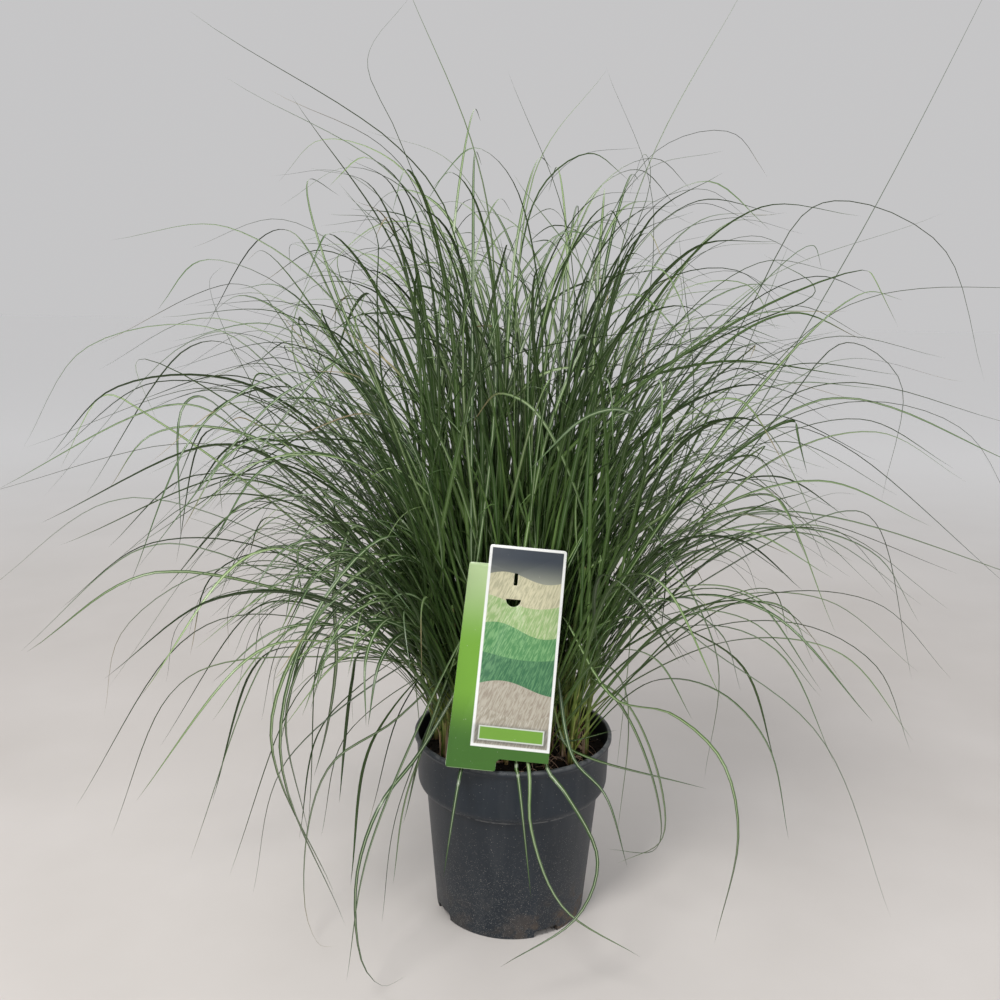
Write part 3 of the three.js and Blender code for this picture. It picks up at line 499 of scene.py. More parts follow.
# The loose crumbs of peat that lie strewn over the soil: one crumb, a small ball pressed out of shape, and
# its copies in several sizes.
bpy.ops.object.select_all(action="DESELECT")
bpy.ops.mesh.primitive_ico_sphere_add(subdivisions=1, radius=1)
start_edit()
bpy.ops.transform.vertex_random(offset=0.35, seed=5)
bpy.ops.transform.resize(value=(1.25, 0.85, 0.7))
end_edit()
crumb_points, crumb_faces = pattern_of(bpy.context.object)


def level_way(turn):
    """The level direction at a turn about the upright."""
    return np.array([math.cos(turn), math.sin(turn), 0])


def strewn(name, count, draw_shape):
    """Copies of the crumb strewn over the soil, each pressed to its own shape."""
    points, faces = [], []
    for i in range(count):
        reach = (SOIL_RADIUS - 6) * MM * math.sqrt(chance.uniform())
        x, y, _ = reach * level_way(chance.uniform(0, 2 * math.pi))
        shape, height = draw_shape()
        faces += [[index + len(points) * len(crumb_points) for index in face] for face in crumb_faces]
        points.append(shape + [x, y, soil_height(x, y) + height])
    return mesh_piece(name, np.concatenate(points), faces)


def crumb_shape():
    size = chance.uniform(*CRUMB_SIZES) * MM * (1.5 if chance.uniform() < 0.12 else 1)
    return crumb_points @ random_turn().T * size, 0.3 * size


def shred_shape():
    """A splinter of bark that lies nearly flat."""
    length = chance.uniform(*SHRED_LENGTHS)
    flat = crumb_points * [length, chance.uniform(*SHRED_WIDTHS), SHRED_THICKNESS] * MM
    heading = Matrix.Rotation(chance.uniform(0, 2 * math.pi), 3, "Z")
    turn = heading @ Matrix.Rotation(0.25 * chance.normal(), 3, "Y")
    return flat @ np.array(turn).T, 1.5 * SHRED_THICKNESS * MM


crumbs = strewn("soil_crumbs", CRUMB_COUNT, crumb_shape)
crumbs.data.materials.append(peat)
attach(crumbs, "root")

# The shreds of bark that the mix holds, the same ball pressed long and flat. They lie nearly level among
# the crumbs.
bark, tree, shader = new_material("bark", Roughness=0.85, Specular_IOR_Level=0.25)
grain = mottle(tree, own_place(tree), 900, 4)
colour = mixed(tree, place_group(tree, patchy_tone, Scale=90, Spread=2.4), DARK_BARK, PALE_BARK)
colour = mixed(tree, ramp(tree, grain, 0.5, 0.75, 0, 0.5), colour, SPLINTERED_BARK)
coat(tree, shader, colour, grain, 0.6, 0.0005)
shreds = strewn("soil_shreds", SHRED_COUNT, shred_shape)
shreds.data.materials.append(bark)
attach(shreds, "root")

# The loose roots: one root, modelled straight as a thin tube with closed ends, and its copies laid along
# curling lines. They lie on the soil, most of them beside the label, and others poke out of the notches.
ROOT_COUNT, ROOT_LENGTHS, ROOT_RADII, ROOT_ARCHES = 46, (18, 62), (0.24, 0.42), (0.3, 1.8)
SHARE_BY_LABEL, BY_LABEL_REACH, BY_LABEL_TURN, OTHER_REACH = 0.7, (58, 99), (-1.35, -0.05), (30, 98)
NOTCH_ROOTS, STUB_LENGTHS, STUB_RADII = 11, (4, 9.5), (0.5, 1.1)
ROOT_STEPS, ROOT_SIDES, ROOT_BENDING, ROOT_WANDERING, ROOT_THINNING = 14, 6, 0.22, 0.10, 0.75
RED_ROOT, PALE_ROOT, PEATY_ROOT = (0.40, 0.22, 0.14), (0.66, 0.50, 0.38), (0.018, 0.013, 0.010)
bpy.ops.object.select_all(action="DESELECT")
bpy.ops.mesh.primitive_circle_add(vertices=ROOT_SIDES, radius=1, fill_type="NGON")
start_edit()
for step in range(ROOT_STEPS):
    bpy.ops.mesh.extrude_region_move(TRANSFORM_OT_translate={"value": (0, 0, 1)})
end_edit()
root_points, root_faces = pattern_of(bpy.context.object)
root_step = np.rint(root_points[:, 2]).astype(int)


def unit(vectors):
    """Vectors brought to a length of one."""
    return vectors / np.linalg.norm(vectors, axis=-1, keepdims=True)


def curl(start, heading, rise, length, arch):
    """A line that wanders off from a start and arches over the soil."""
    stops = [start]
    turning = chance.normal() * ROOT_BENDING
    for step in range(ROOT_STEPS):
        heading += turning + ROOT_WANDERING * chance.normal()
        climb = rise + arch * math.cos(math.pi * (step + 0.5) / ROOT_STEPS)
        stops.append(stops[-1] + unit(level_way(heading) + [0, 0, climb]) * length / ROOT_STEPS)
    return np.array(stops)


def lay_root(line, radius):
    """The root's points along a line, thinner towards its end."""
    ways = unit(np.gradient(line, axis=0))
    across = unit(np.cross(ways, [0.2, 0.1, 1.0]))
    upper = np.cross(across, ways)
    thick = radius * (1 - ROOT_THINNING * root_step / ROOT_STEPS)[:, None]
    ring = across[root_step] * root_points[:, :1] + upper[root_step] * root_points[:, 1:2]
    return line[root_step] + thick * ring


root_lines = []
for i in range(ROOT_COUNT):
    if chance.uniform() < SHARE_BY_LABEL:
        reach, turn = chance.uniform(*BY_LABEL_REACH), chance.uniform(*BY_LABEL_TURN)
    else:
        reach, turn = chance.uniform(*OTHER_REACH), chance.uniform(0, 2 * math.pi)
    x, y, _ = reach * level_way(turn) * MM
    heading, length = chance.uniform(0, 2 * math.pi), chance.uniform(*ROOT_LENGTHS) * MM
    start = np.array([x, y, soil_height(x, y) - MM])
    line = curl(start, heading, 0.05, length, chance.uniform(*ROOT_ARCHES))
    low = np.array([soil_height(*point[:2]) for point in line])
    if (np.hypot(line[:, 0], line[:, 1]) < (SOIL_RADIUS - 3) * MM).all():
        line[:, 2] = np.maximum(line[:, 2], low + 0.2 * MM)
        line[0, 2] = low[0] - MM
        root_lines.append((line, chance.uniform(*ROOT_RADII) * MM))
for notch in range(NOTCH_COUNT):
    for i in range(NOTCH_ROOTS):
        turn = FIRST_NOTCH + notch * 2 * math.pi / NOTCH_COUNT + chance.uniform(-0.14, 0.14)
        start = (FOOT_RADIUS - 7) * MM * level_way(turn) + [0, 0, (POT_FLOOR + 1.7) * MM]
        line = curl(start, turn + 0.5 * chance.normal(), -0.5, chance.uniform(*STUB_LENGTHS) * MM, 0.2)
        root_lines.append((line, chance.uniform(*STUB_RADII) * MM))
points = [lay_root(line, radius) for line, radius in root_lines]
faces = [[index + i * len(root_points) for index in face] for i in range(len(points)) for face in root_faces]
roots = mesh_piece("loose_roots", np.concatenate(points), faces)
roots.data.polygons.foreach_set("use_smooth", np.ones(len(faces), bool))
root_skin, tree, shader = new_material("root_skin", Roughness=0.7, Specular_IOR_Level=0.3)
position = own_place(tree)
colour = mixed(tree, place_group(tree, patchy_tone, Scale=30, Spread=2.2), RED_ROOT, PALE_ROOT)
in_notch = ramp(tree, apart(tree, position)[2], 0.1, 0.05)
colour = mixed(tree, in_notch, colour, PEATY_ROOT)
coat(tree, shader, colour, mottle(tree, position, 700, 3), 0.5, 0.0003)
roots.data.materials.append(root_skin)
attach(roots, "root")


# The leafy stems. Each stands in the soil, wrapped in the sheaths of its leaves. A leaf leaves its sheath at
# the collar, rises beside the stem and arches over into a long fine point. Its blade is folded along a pale
# midrib and is grey-green above. Its underside is painted darker, as painted shade.
LEAF_STEPS, LEAF_DETAIL, EVEN_PACE = 32, 10, 0.72
LEAF_THICKNESS, TIP_THINNING, POINT_WIDTH, WIDEST_AT = 0.42, 0.55, 0.12, 0.3
LEAF_FOLDS, COLLAR_FOLD, COLLAR_LENGTH = (0.10, 0.20), 0.28, 0.12
SHEATH_LENGTHS, SHEATH_STOPS, LEAST_STEP = (34, 70), (1.0, 0.55, 0.2), 4
SHEATH_SHARE, SHEATH_GRIP, SHEATH_WIDENING = 0.1, 0.35, 0.5
STEM_SIDES, STEM_RADII, STEM_CAP = 10, (3.0, 1.9), 2.2
COLLAR_GAP, COLLAR_SWELL, COLLAR_STEP, LOWEST_NECK = 9, 0.5, 0.7, 16
LABEL_CORNER = Vector((-46.4, -109, 244.5)) * MM
LABEL_TURNS = (math.radians(-1.3), math.radians(-20), math.radians(4.2))
LABEL_AREA, LABEL_FRONT = (-0.044, 0.103, -0.046, 0.232), 0.005
LIP_ZONE, ABOVE_LIP, ABOVE_SOIL, ABOVE_FLOOR = (0.103, 0.1195), 0.2175, 0.198, 0.006
POT_FRONT, POT_HALF, POT_COVER = -0.09, 0.17, 0.235
REACH_PAST_BOX = 0.004
DOME_RADIUS, DOME_FOOT, DOME_HEIGHT = 0.59, 0.25, 0.63
SISTER_TRIES, SISTER_LEAN, INNER_SHARE, UPRIGHT_SLOPE = 8, 0.15, 0.5, 0.45
LEFT_SIDE, RIGHT_SIDE, LEFT_TOP, MIDDLE_TOP = -0.08, 0.1, 0.5, 0.62
STRAIGHT_COPY = {
    "turn": 0, "reach": 1, "rise": 1, "bow": 0, "droop": 0,
    "shift": 0, "twist": 0, "slimness": 1, "lean": (0, 0),
}
chance = np.random.default_rng(20714)

label_place = (
    Matrix.Translation(LABEL_CORNER)
    @ Matrix.Rotation(LABEL_TURNS[0], 4, "Z")
    @ Matrix.Rotation(LABEL_TURNS[1], 4, "X")
    @ Matrix.Rotation(LABEL_TURNS[2], 4, "Y")
)
onto_label = np.array(label_place.inverted())


def read_tiller(node):
    """The middle line of a packed tiller's stem, and the cross-sections of its leaves from neck to tip."""
    mesh = bmesh.new()
    mesh.from_mesh(node.data)
    bmesh.ops.remove_doubles(mesh, verts=mesh.verts, dist=0.01 * MM)
    leaves, in_leaf = [], set()
    for tip in mesh.verts:
        if len(tip.link_edges) != 3:
            continue
        passed = {tip}
        ring = {edge.other_vert(tip) for edge in tip.link_edges}
        rings = []
        while len(ring) == 3:
            rings.insert(0, np.array(sorted(vertex.co[:] for vertex in ring)))
            passed |= ring
            ring = {edge.other_vert(vertex) for vertex in ring for edge in vertex.link_edges} - passed
        if len(rings) > 1:
            in_leaf |= passed
            leaves.append(leaf_sections(rings, np.array(tip.co)))
    levels = {}
    for vertex in mesh.verts:
        if vertex not in in_leaf:
            levels.setdefault(round(vertex.co.z, 6), []).append(vertex.co[:])
    mesh.free()
    stem = []
    for level in sorted(levels):
        ring = np.array(levels[level])
        if len(ring) >= 5:
            from_middle = np.linalg.norm(ring - ring.mean(axis=0), axis=1)
            stem.append(ring[np.argsort(from_middle)[-5:]].mean(axis=0))
    return np.array(stem), leaves


def leaf_sections(rings, tip):
    """Each cross-section's middle and the way across the blade there, and the blade's greatest width."""
    middles = [ring.mean(axis=0) for ring in rings] + [tip]
    sides, widths = [], []
    for i, ring in enumerate(rings):
        pairs = [(0, 1, 2), (0, 2, 1), (1, 2, 0)]
        left, right, keel = max(pairs, key=lambda pair: np.linalg.norm(ring[pair[0]] - ring[pair[1]]))
        across = ring[left] - ring[right]
        width = np.linalg.norm(across)
        upper = (ring[left] + ring[right]) / 2 - ring[keel]
        if np.dot(np.cross(across, upper), middles[i + 1] - middles[i]) < 0:
            across = -across
        sides.append(across / width)
        widths.append(width)
    return {"middles": np.array(middles), "sides": np.array(sides + sides[-1:]), "widest": max(widths)}


def between(first, second, low, high, t):
    """On the way from first, where t is low, to second, where it is high."""
    return (high - t) / (high - low) * first + (t - low) / (high - low) * second


def between_points(points, detail):
    """A smooth line through points that are unevenly spaced, and where each new point lies among them."""
    ends = np.concatenate([[2 * points[0] - points[1]], points, [2 * points[-1] - points[-2]]])
    gaps = np.sqrt(np.maximum(np.linalg.norm(np.diff(ends, axis=0), axis=1), 1e-6))
    knots = np.concatenate([[0], np.cumsum(gaps)])
    line, places = [], []
    for i in range(len(points) - 1):
        k0, k1, k2, k3 = knots[i:i + 4]
        p0, p1, p2, p3 = ends[i:i + 4]
        shares = np.linspace(0, 1, detail, endpoint=i == len(points) - 2)
        t = (k1 + (k2 - k1) * shares)[:, None]
        here = between(p1, p2, k1, k2, t)
        early = between(between(p0, p1, k0, k1, t), here, k0, k2, t)
        late = between(here, between(p2, p3, k2, k3, t), k1, k3, t)
        line.append(between(early, late, k1, k2, t))
        places.append(i + shares)
    return np.concatenate(line), np.concatenate(places)


def along_line(line, places):
    """The line at the leaf's steps, which are closer together where it bends."""
    steps = np.diff(line, axis=0)
    lengths = np.linalg.norm(steps, axis=1)
    ways = steps / lengths[:, None]
    bends = np.concatenate([[0], np.arccos(np.clip((ways[1:] * ways[:-1]).sum(axis=1), -1, 1))])
    pace = EVEN_PACE * lengths / lengths.sum() + (1 - EVEN_PACE) * bends / max(bends.sum(), 1e-6)
    reached = np.concatenate([[0], np.cumsum(pace)]) / pace.sum()
    travelled = np.concatenate([[0], np.cumsum(lengths)])
    stops = np.linspace(0, 1, LEAF_STEPS + 1)
    middle = np.stack([np.interp(stops, reached, line[:, axis]) for axis in range(3)], axis=1)
    return middle, np.interp(stops, reached, places), np.interp(stops, reached, travelled)


# One leaf, modelled straight: a ring of four points (margin, midrib above, margin, midrib below) drawn out
# step by step to a closed tip.
bpy.ops.object.select_all(action="DESELECT")
bpy.ops.mesh.primitive_circle_add(vertices=4, radius=1, fill_type="NGON", rotation=(-math.pi / 2, 0, 0))
leaf_pattern = bpy.context.object
bpy.ops.object.transform_apply(location=True, rotation=True, scale=True)
start_edit()
for step in range(LEAF_STEPS):
    bpy.ops.mesh.extrude_region_move(TRANSFORM_OT_translate={"value": (0, 1 / LEAF_STEPS, 0)})
bpy.ops.mesh.merge(type="CENTER")
end_edit()
leaf_points, leaf_faces = pattern_of(leaf_pattern)
leaf_step = np.rint(leaf_points[:, 1] * LEAF_STEPS).astype(int)
leaf_turns = np.arctan2(leaf_points[:, 2], -leaf_points[:, 0]) / (2 * math.pi) % 1


def pattern_rows(face):
    """Where a face's corners lie on the blade's own map: along it, and round it from one margin."""
    around = [leaf_turns[index] if leaf_step[index] < LEAF_STEPS else None for index in face]
    known = [value for value in around if value is not None]
    if len(face) == 4 and len({leaf_step[index] for index in face}) == 1:
        return [(0.0, value) for value in around]
    if max(known) - min(known) > 0.5:
        around = [value + 1 if value is not None and value < 0.25 else value for value in around]
        known = [value for value in around if value is not None]
    middle = sum(known) / len(known)
    return [
        (leaf_step[index] / LEAF_STEPS, middle if value is None else value)
        for index, value in zip(face, around)
    ]


leaf_map = [corner for face in leaf_faces for corner in pattern_rows(face)]


def lay_leaf(middle, side, widths, folds, thickness, twists):
    """The leaf's points, laid along a line. The margins stand above the midrib by the fold."""
    ways = unit(np.gradient(middle, axis=0))
    across = unit(side - ways * (side * ways).sum(axis=1)[:, None])
    across = across * np.cos(twists)[:, None] + np.cross(ways, across) * np.sin(twists)[:, None]
    upper = np.cross(ways, across)
    row = leaf_step
    sideways = -leaf_points[:, 0] * widths[row] / 2
    lift = np.abs(leaf_points[:, 0]) * folds[row] * widths[row]
    lift = lift + leaf_points[:, 2] * thickness[row] / 2
    tip = row == LEAF_STEPS
    sideways[tip], lift[tip] = 0, 0
    return middle[row] + across[row] * sideways[:, None] + upper[row] * lift[:, None]


def blade_widths(shares, widest):
    """Narrow at the collar, widest near a third of the blade, and ending in a long fine point."""
    swell = 0.5 + 0.5 * np.sin(np.clip(shares / WIDEST_AT, 0, 1) * math.pi / 2)
    taper = 1 - np.clip((shares - WIDEST_AT) / (1 - WIDEST_AT), 0, 1) ** 2.2
    return widest * np.minimum(swell, taper) + POINT_WIDTH * MM


def stem_at(stem, height):
    """The stem's middle at a height."""
    return np.array([np.interp(height, stem[:, 2], stem[:, axis]) for axis in (0, 1)] + [height])


def stem_radius(stem, height):
    share = (height - SOIL_TOP * MM) / (stem[-1, 2] - SOIL_TOP * MM)
    return (STEM_RADII[0] + (STEM_RADII[1] - STEM_RADII[0]) * min(max(share, 0), 1)) * MM


def clear_of_pot(line):
    """Over the lip and not through it, above the soil, and above the floor."""
    reach = np.hypot(line[:, 0], line[:, 1])
    over_pot = reach < LIP_ZONE[1]
    over_lip = over_pot & (reach > LIP_ZONE[0])
    lowest = np.where(over_lip, ABOVE_LIP, np.where(over_pot, ABOVE_SOIL, ABOVE_FLOOR))
    return bool((line[:, 2] >= lowest).all())


def clear_of_front(line):
    """Not through the label, and not in front of it or of the container, which few leaves cover."""
    local = line @ onto_label[:3, :3].T + onto_label[:3, 3]
    left, right, low, high = LABEL_AREA
    over = (local[:, 0] > left) & (local[:, 0] < right) & (local[:, 2] > low) & (local[:, 2] < high)
    hides_label = over & (local[:, 1] < LABEL_FRONT)
    hides_pot = (line[:, 1] < POT_FRONT) & (np.abs(line[:, 0]) < POT_HALF) & (line[:, 2] < POT_COVER)
    return not (hides_label.any() or hides_pot.any())


def within_dome(line):
    """Inside the rounded outline that the bulk of the foliage fills, and nowhere past the longest leaves."""
    across = np.hypot(line[:, 0], line[:, 1]) / DOME_RADIUS
    up = np.maximum(line[:, 2] - DOME_FOOT, 0) / DOME_HEIGHT
    past_low = line < np.array(cad_box[0]) - REACH_PAST_BOX
    past_high = line > np.array(cad_box[1]) + REACH_PAST_BOX
    return bool((across ** 2 + up ** 2 < 1).all() and not (past_low | past_high).any())


def drawn_change(leaf):
    """How a sister differs from the leaf that it grows beside. An upright leaf's sister points anywhere."""
    span = leaf["middles"][-1] - leaf["middles"][0]
    upright = math.hypot(span[0], span[1]) < UPRIGHT_SLOPE * span[2]
    inner = chance.uniform() < INNER_SHARE
    reach = (0.2, 0.6) if inner else (0.8, 2.3) if upright else (0.66, 1.02)
    return {
        "turn": math.radians(chance.uniform(7, 175 if upright else 42)) * chance.choice([-1, 1]),
        "reach": chance.uniform(*reach),
        "rise": chance.uniform(0.66, 0.97) if upright else chance.uniform(0.74, 1.03),
        "bow": (0.24 if inner else 0.1) * chance.normal(),
        "droop": chance.uniform(-0.04, 0.12),
        "shift": chance.uniform(-26, 14) * MM,
        "twist": 0.7 * chance.normal(),
        "slimness": chance.uniform(0.82, 1.12),
        "lean": SISTER_LEAN * (2.8 if inner else 1) * chance.normal(size=2),
    }


def sister_count(leaf):
    """The clump is densest at its lower left, and thinner at the top and on the right."""
    tip = leaf["middles"][-1]
    if tip[0] < LEFT_SIDE:
        return 4 if tip[2] < LEFT_TOP else 2
    if tip[0] < RIGHT_SIDE:
        return 4 if tip[2] < MIDDLE_TOP else 3
    return 1


def grown_line(stem, leaf, change):
    """A leaf's line from its sheath to its tip, turned about the stem, sized and shifted along it."""
    neck, top = leaf["middles"][0][2], stem[-1, 2]
    centre = stem_at(stem, min(neck, top))
    rotation = np.array(Matrix.Rotation(change["turn"], 3, "Z"))
    moved = (leaf["middles"] - centre) @ rotation.T
    offset = moved[0].copy()
    moved = (moved - offset) * [change["reach"], change["reach"], change["rise"]] + offset
    moved[:, :2] += np.maximum(moved[:, 2:] - offset[2], 0) * change["lean"]
    height = max(centre[2] + change["shift"], (SOIL_TOP + LOWEST_NECK) * MM)
    placed = moved + stem_at(stem, min(height, top))
    out = offset * [1, 1, 0]
    # A leaf at the top of the stem carries it on, and has no side of the stem to itself.
    aside = np.linalg.norm(out) > 0.5 * MM and neck <= top
    out = unit(out) if aside else out * 0
    length = chance.uniform(*SHEATH_LENGTHS) * MM
    base = []
    for share in SHEATH_STOPS:
        level = max(placed[0][2] - length * share, (SOIL_TOP + 3 - 4 * share) * MM)
        below_neck = level < placed[0][2] - LEAST_STEP * MM
        if below_neck and (not base or level > base[-1][2] + LEAST_STEP * MM):
            level_on_stem = min(level, top)
            grip = stem_radius(stem, level_on_stem) + SHEATH_GRIP * MM
            base.append(stem_at(stem, level_on_stem) + out * grip)
    sides = leaf["sides"] @ rotation.T
    base_sides = [sides[0]] * len(base)
    if aside:
        round_stem = np.cross(out, [0, 0, 1.0])
        base_sides = [-round_stem if np.dot(round_stem, sides[0]) < 0 else round_stem] * len(base)
    points = np.array(base + list(placed))
    return points, np.array(base_sides + list(sides)), len(base)


def grow_leaf(stem, leaf, change, fold, age):
    """One leaf's points, and its own colour values, or None where it would touch what it has to miss."""
    points, sides, base_count = grown_line(stem, leaf, change)
    line, places = between_points(points, LEAF_DETAIL)
    gone = np.concatenate([[0], np.cumsum(np.linalg.norm(np.diff(line, axis=0), axis=1))])
    gone = np.clip(gone - np.interp(base_count, places, gone), 0, None)
    share, length = (gone / gone[-1])[:, None], gone[-1]
    heading = (line[-1] - points[base_count]) * [1, 1, 0]
    beside = np.array([-heading[1], heading[0], 0]) / max(np.linalg.norm(heading), 1e-6)
    line = line + beside * (change["bow"] * length * share ** 2)
    line = line - np.array([0, 0, 1]) * (change["droop"] * length * share ** 2.2)
    visible = line[places >= base_count]
    if change is not STRAIGHT_COPY:
        if not (within_dome(line) and clear_of_pot(visible) and clear_of_front(line)):
            return None
    middle, where, travelled = along_line(line, places)
    neck_at = np.interp(base_count, where, travelled)
    shares = np.clip((travelled - neck_at) / (travelled[-1] - neck_at), 0, 1)
    side = np.stack([np.interp(where, np.arange(len(sides)), sides[:, axis]) for axis in range(3)], axis=1)
    widths = blade_widths(shares, leaf["widest"] * change["slimness"])
    in_sheath = np.clip((neck_at - travelled) / max(neck_at, 1e-6), 0, 1)
    widths = widths * (1 + SHEATH_WIDENING * np.minimum(in_sheath * 3, 1))
    folds = fold + COLLAR_FOLD * np.clip(1 - shares / COLLAR_LENGTH, 0, 1)
    thickness = LEAF_THICKNESS * MM * (1 - TIP_THINNING * shares)
    points = lay_leaf(middle, side, widths, folds, thickness, change["twist"] * shares)
    on_sheath, on_blade = SHEATH_SHARE * (1 - in_sheath), SHEATH_SHARE + (1 - SHEATH_SHARE) * shares
    map_along = np.where(shares > 0, on_blade, on_sheath)
    return points, map_along, [chance.uniform(), chance.uniform(), age]


def make_stem(stem, collars):
    """The stem's tube: it widens up to each collar, where a sheath ends, and steps back in above it."""
    foot, top = stem[0, 2], stem[-1, 2]
    levels = [(foot, 0.0), ((SOIL_TOP + 1) * MM, 0.0)]
    before = (SOIL_TOP + 1) * MM
    for collar in sorted(collars):
        if before + COLLAR_GAP * MM < collar < top - 3 * MM:
            above = collar + COLLAR_STEP * MM
            levels += [(before + 0.6 * (collar - before), 0.12), (collar, COLLAR_SWELL), (above, 0.05)]
            before = above
    levels += [((before + top) / 2, 0.0), (top, -0.2), (top + STEM_CAP * MM, -1.1)]
    points, faces = [], []
    for level, swell in levels:
        centre = stem_at(stem, min(level, top))
        centre[2] = level
        radius = stem_radius(stem, level) + swell * MM
        for side in range(STEM_SIDES):
            turn = 2 * math.pi * side / STEM_SIDES
            flat = 1 + 0.1 * math.cos(2 * (turn - stem[0, 0] * 90))
            points.append(centre + radius * flat * level_way(turn))
    for ring in range(len(levels) - 1):
        for side in range(STEM_SIDES):
            low, next_low = ring * STEM_SIDES + side, ring * STEM_SIDES + (side + 1) % STEM_SIDES
            faces.append([low, next_low, next_low + STEM_SIDES, low + STEM_SIDES])
    faces.append(list(range(STEM_SIDES))[::-1])
    faces.append(list(range(len(points) - STEM_SIDES, len(points))))
    stem_map = []
    for face in faces:
        seam = any(index % STEM_SIDES == STEM_SIDES - 1 for index in face) and len(face) == 4
        for index in face:
            around = index % STEM_SIDES
            around = STEM_SIDES if seam and around == 0 else around
            stem_map.append((points[index][2] - SOIL_TOP * MM, around / STEM_SIDES))
    return np.array(points), faces, stem_map


# Long fibres or veins that run along a leaf or a stem. Across runs from margin to margin.
long_fibres, given, result = new_group("long_fibres", {"Along": 0, "Across": 0, "Count": 20}, "Height")
counted = product(long_fibres, given["Across"], given["Count"])
drawn_out = put(long_fibres, "CombineXYZ", {0: counted, 1: product(long_fibres, given["Along"], 6)})
ridges = product(long_fibres, sums(long_fibres, "SINE", product(long_fibres, counted, math.pi)), 0.25)
uneven = mottle(long_fibres, drawn_out.outputs[0], 1, 3)
long_fibres.links.new(sums(long_fibres, "ADD", ridges, uneven), result)


def blade_values(tree, fibre_count):
    """How far along and how far round the blade a point is, its tones, and the height of its fibres."""
    along, around, _ = apart(tree, put(tree, "UVMap", uv_map="blade").outputs[0])
    tone_colour = put(tree, "Attribute", attribute_name="leaf_tone").outputs["Color"]
    fibres = place_group(tree, long_fibres, Along=along, Across=around, Count=fibre_count)
    return along, around, put(tree, "SeparateColor", {0: tone_colour}).outputs, fibres


DARK_UPPER, PALE_UPPER = (0.023, 0.070, 0.009), (0.215, 0.325, 0.105)
DARK_SHADED_UNDER, PALE_SHADED_UNDER = (0.005, 0.019, 0.003), (0.044, 0.092, 0.018)
PATCH_GREEN, SHADE_GREEN, SHADE_TOP = (0.044, 0.100, 0.018), (0.018, 0.052, 0.011), (0.30, 0.19)
DARK_FRESH_LIT_HEART, PALE_FRESH_LIT_HEART = (0.016, 0.066, 0.007), (0.210, 0.360, 0.090)
HEART_TOP, HEART_REACH = (0.66, 0.45), (0.20, 0.06)
VEIN, SHADED_MARGIN_GREEN, MIDRIB = (0.26, 0.33, 0.17), (0.008, 0.030, 0.006), (0.56, 0.62, 0.45)
PALE_STRAW, BROWN_STRAW = (0.30, 0.26, 0.13), (0.18, 0.13, 0.07)
DARK_SHEATH, PALE_SHEATH, SHEATH_TOP = (0.055, 0.120, 0.016), (0.40, 0.47, 0.10), (0.36, 0.21)
SHEATH_RUST, RUST_TOP = (0.50, 0.29, 0.18), (0.255, 0.2)
leaf_skin, tree, shader = new_material("leaf_skin")
along, around, tones, fibres = blade_values(tree, 34)
sideways, depth, height = apart(tree, own_place(tree))
is_upper = sums(tree, "LESS_THAN", around, 0.5)
half_way = sums(tree, "SUBTRACT", sums(tree, "FRACT", product(tree, around, 2)), 0.5)
from_rib = product(tree, sums(tree, "ABSOLUTE", half_way), 2)
upper = mixed(tree, sums(tree, "POWER", tones[0], 1.9), DARK_UPPER, PALE_UPPER)
# The underside is painted darker than the upper side: painted shade, as it faces away from the light above.
colour = mixed(tree, is_upper, mixed(tree, tones[1], DARK_SHADED_UNDER, PALE_SHADED_UNDER), upper)
patches = place_group(tree, patchy_tone, Scale=22, Spread=1.5)
colour = mixed(tree, product(tree, patches, 0.2), colour, PATCH_GREEN)
# The lowest leaves are darkened with painted shade. Those at the heart of the clump are fresher green, and
# are also painted lighter and more vivid: painted light, as if shining through the leaves.
colour = mixed(tree, ramp(tree, height, *SHADE_TOP, 0, 0.6), colour, SHADE_GREEN)
level_place = put(tree, "CombineXYZ", {0: sideways, 1: depth}).outputs[0]
from_axis = put(tree, "VectorMath", {0: level_place}, operation="LENGTH").outputs["Value"]
# The heart's greens are partly the fresh colour of young leaves and partly painted light through the leaves.
fresh_and_lit_heart = product(tree, ramp(tree, from_axis, *HEART_REACH), ramp(tree, height, *HEART_TOP), 0.6)
colour = mixed(tree, fresh_and_lit_heart, colour, mixed(tree, tones[0], DARK_FRESH_LIT_HEART, PALE_FRESH_LIT_HEART))
colour = mixed(tree, ramp(tree, fibres, 0.35, 0.8, 0, 0.16), colour, VEIN)
# The upper side darkens towards its margins: painted shade on the sides of the fold.
colour = mixed(tree, product(tree, ramp(tree, from_rib, 0.50, 0.88), is_upper, 0.75), colour, SHADED_MARGIN_GREEN)
rib = product(tree, ramp(tree, from_rib, 0.20, 0.07), ramp(tree, along, 0.97, 0.75))
rib = product(tree, rib, ramp(tree, is_upper, 0, 1, 0.2, 0.8))
colour = mixed(tree, rib, colour, MIDRIB)
# The tips of the older leaves have dried to straw.
dried_length = product(tree, sums(tree, "POWER", tones[2], 8), 0.28)
dry = ramp(tree, sums(tree, "SUBTRACT", along, sums(tree, "SUBTRACT", 1.04, dried_length)), 0, 0.1)
colour = mixed(tree, dry, colour, mixed(tree, tones[1], PALE_STRAW, BROWN_STRAW))
# Near the soil the sheaths are yellow-green, and the oldest are flushed with rust.
fresh = product(tree, ramp(tree, height, *SHEATH_TOP), ramp(tree, along, 0.26, 0.09, 0, 0.95))
colour = mixed(tree, fresh, colour, mixed(tree, tones[1], DARK_SHEATH, PALE_SHEATH))
rust = product(tree, ramp(tree, height, *RUST_TOP), ramp(tree, tones[0], 0.55, 0.8, 0, 0.85))
colour = mixed(tree, product(tree, rust, ramp(tree, along, 0.2, 0.08)), colour, SHEATH_RUST)
tree.links.new(ramp(tree, is_upper, 0, 1, 0.2, 0.5), shader.inputs["Specular IOR Level"])
dullness = sums(tree, "ADD", ramp(tree, is_upper, 0, 1, 0.46, 0.32), product(tree, dry, 0.3))
tree.links.new(dullness, shader.inputs["Roughness"])
coat(tree, shader, colour, sums(tree, "ADD", fibres, product(tree, rib, 0.8)), 0.3, 0.0002)

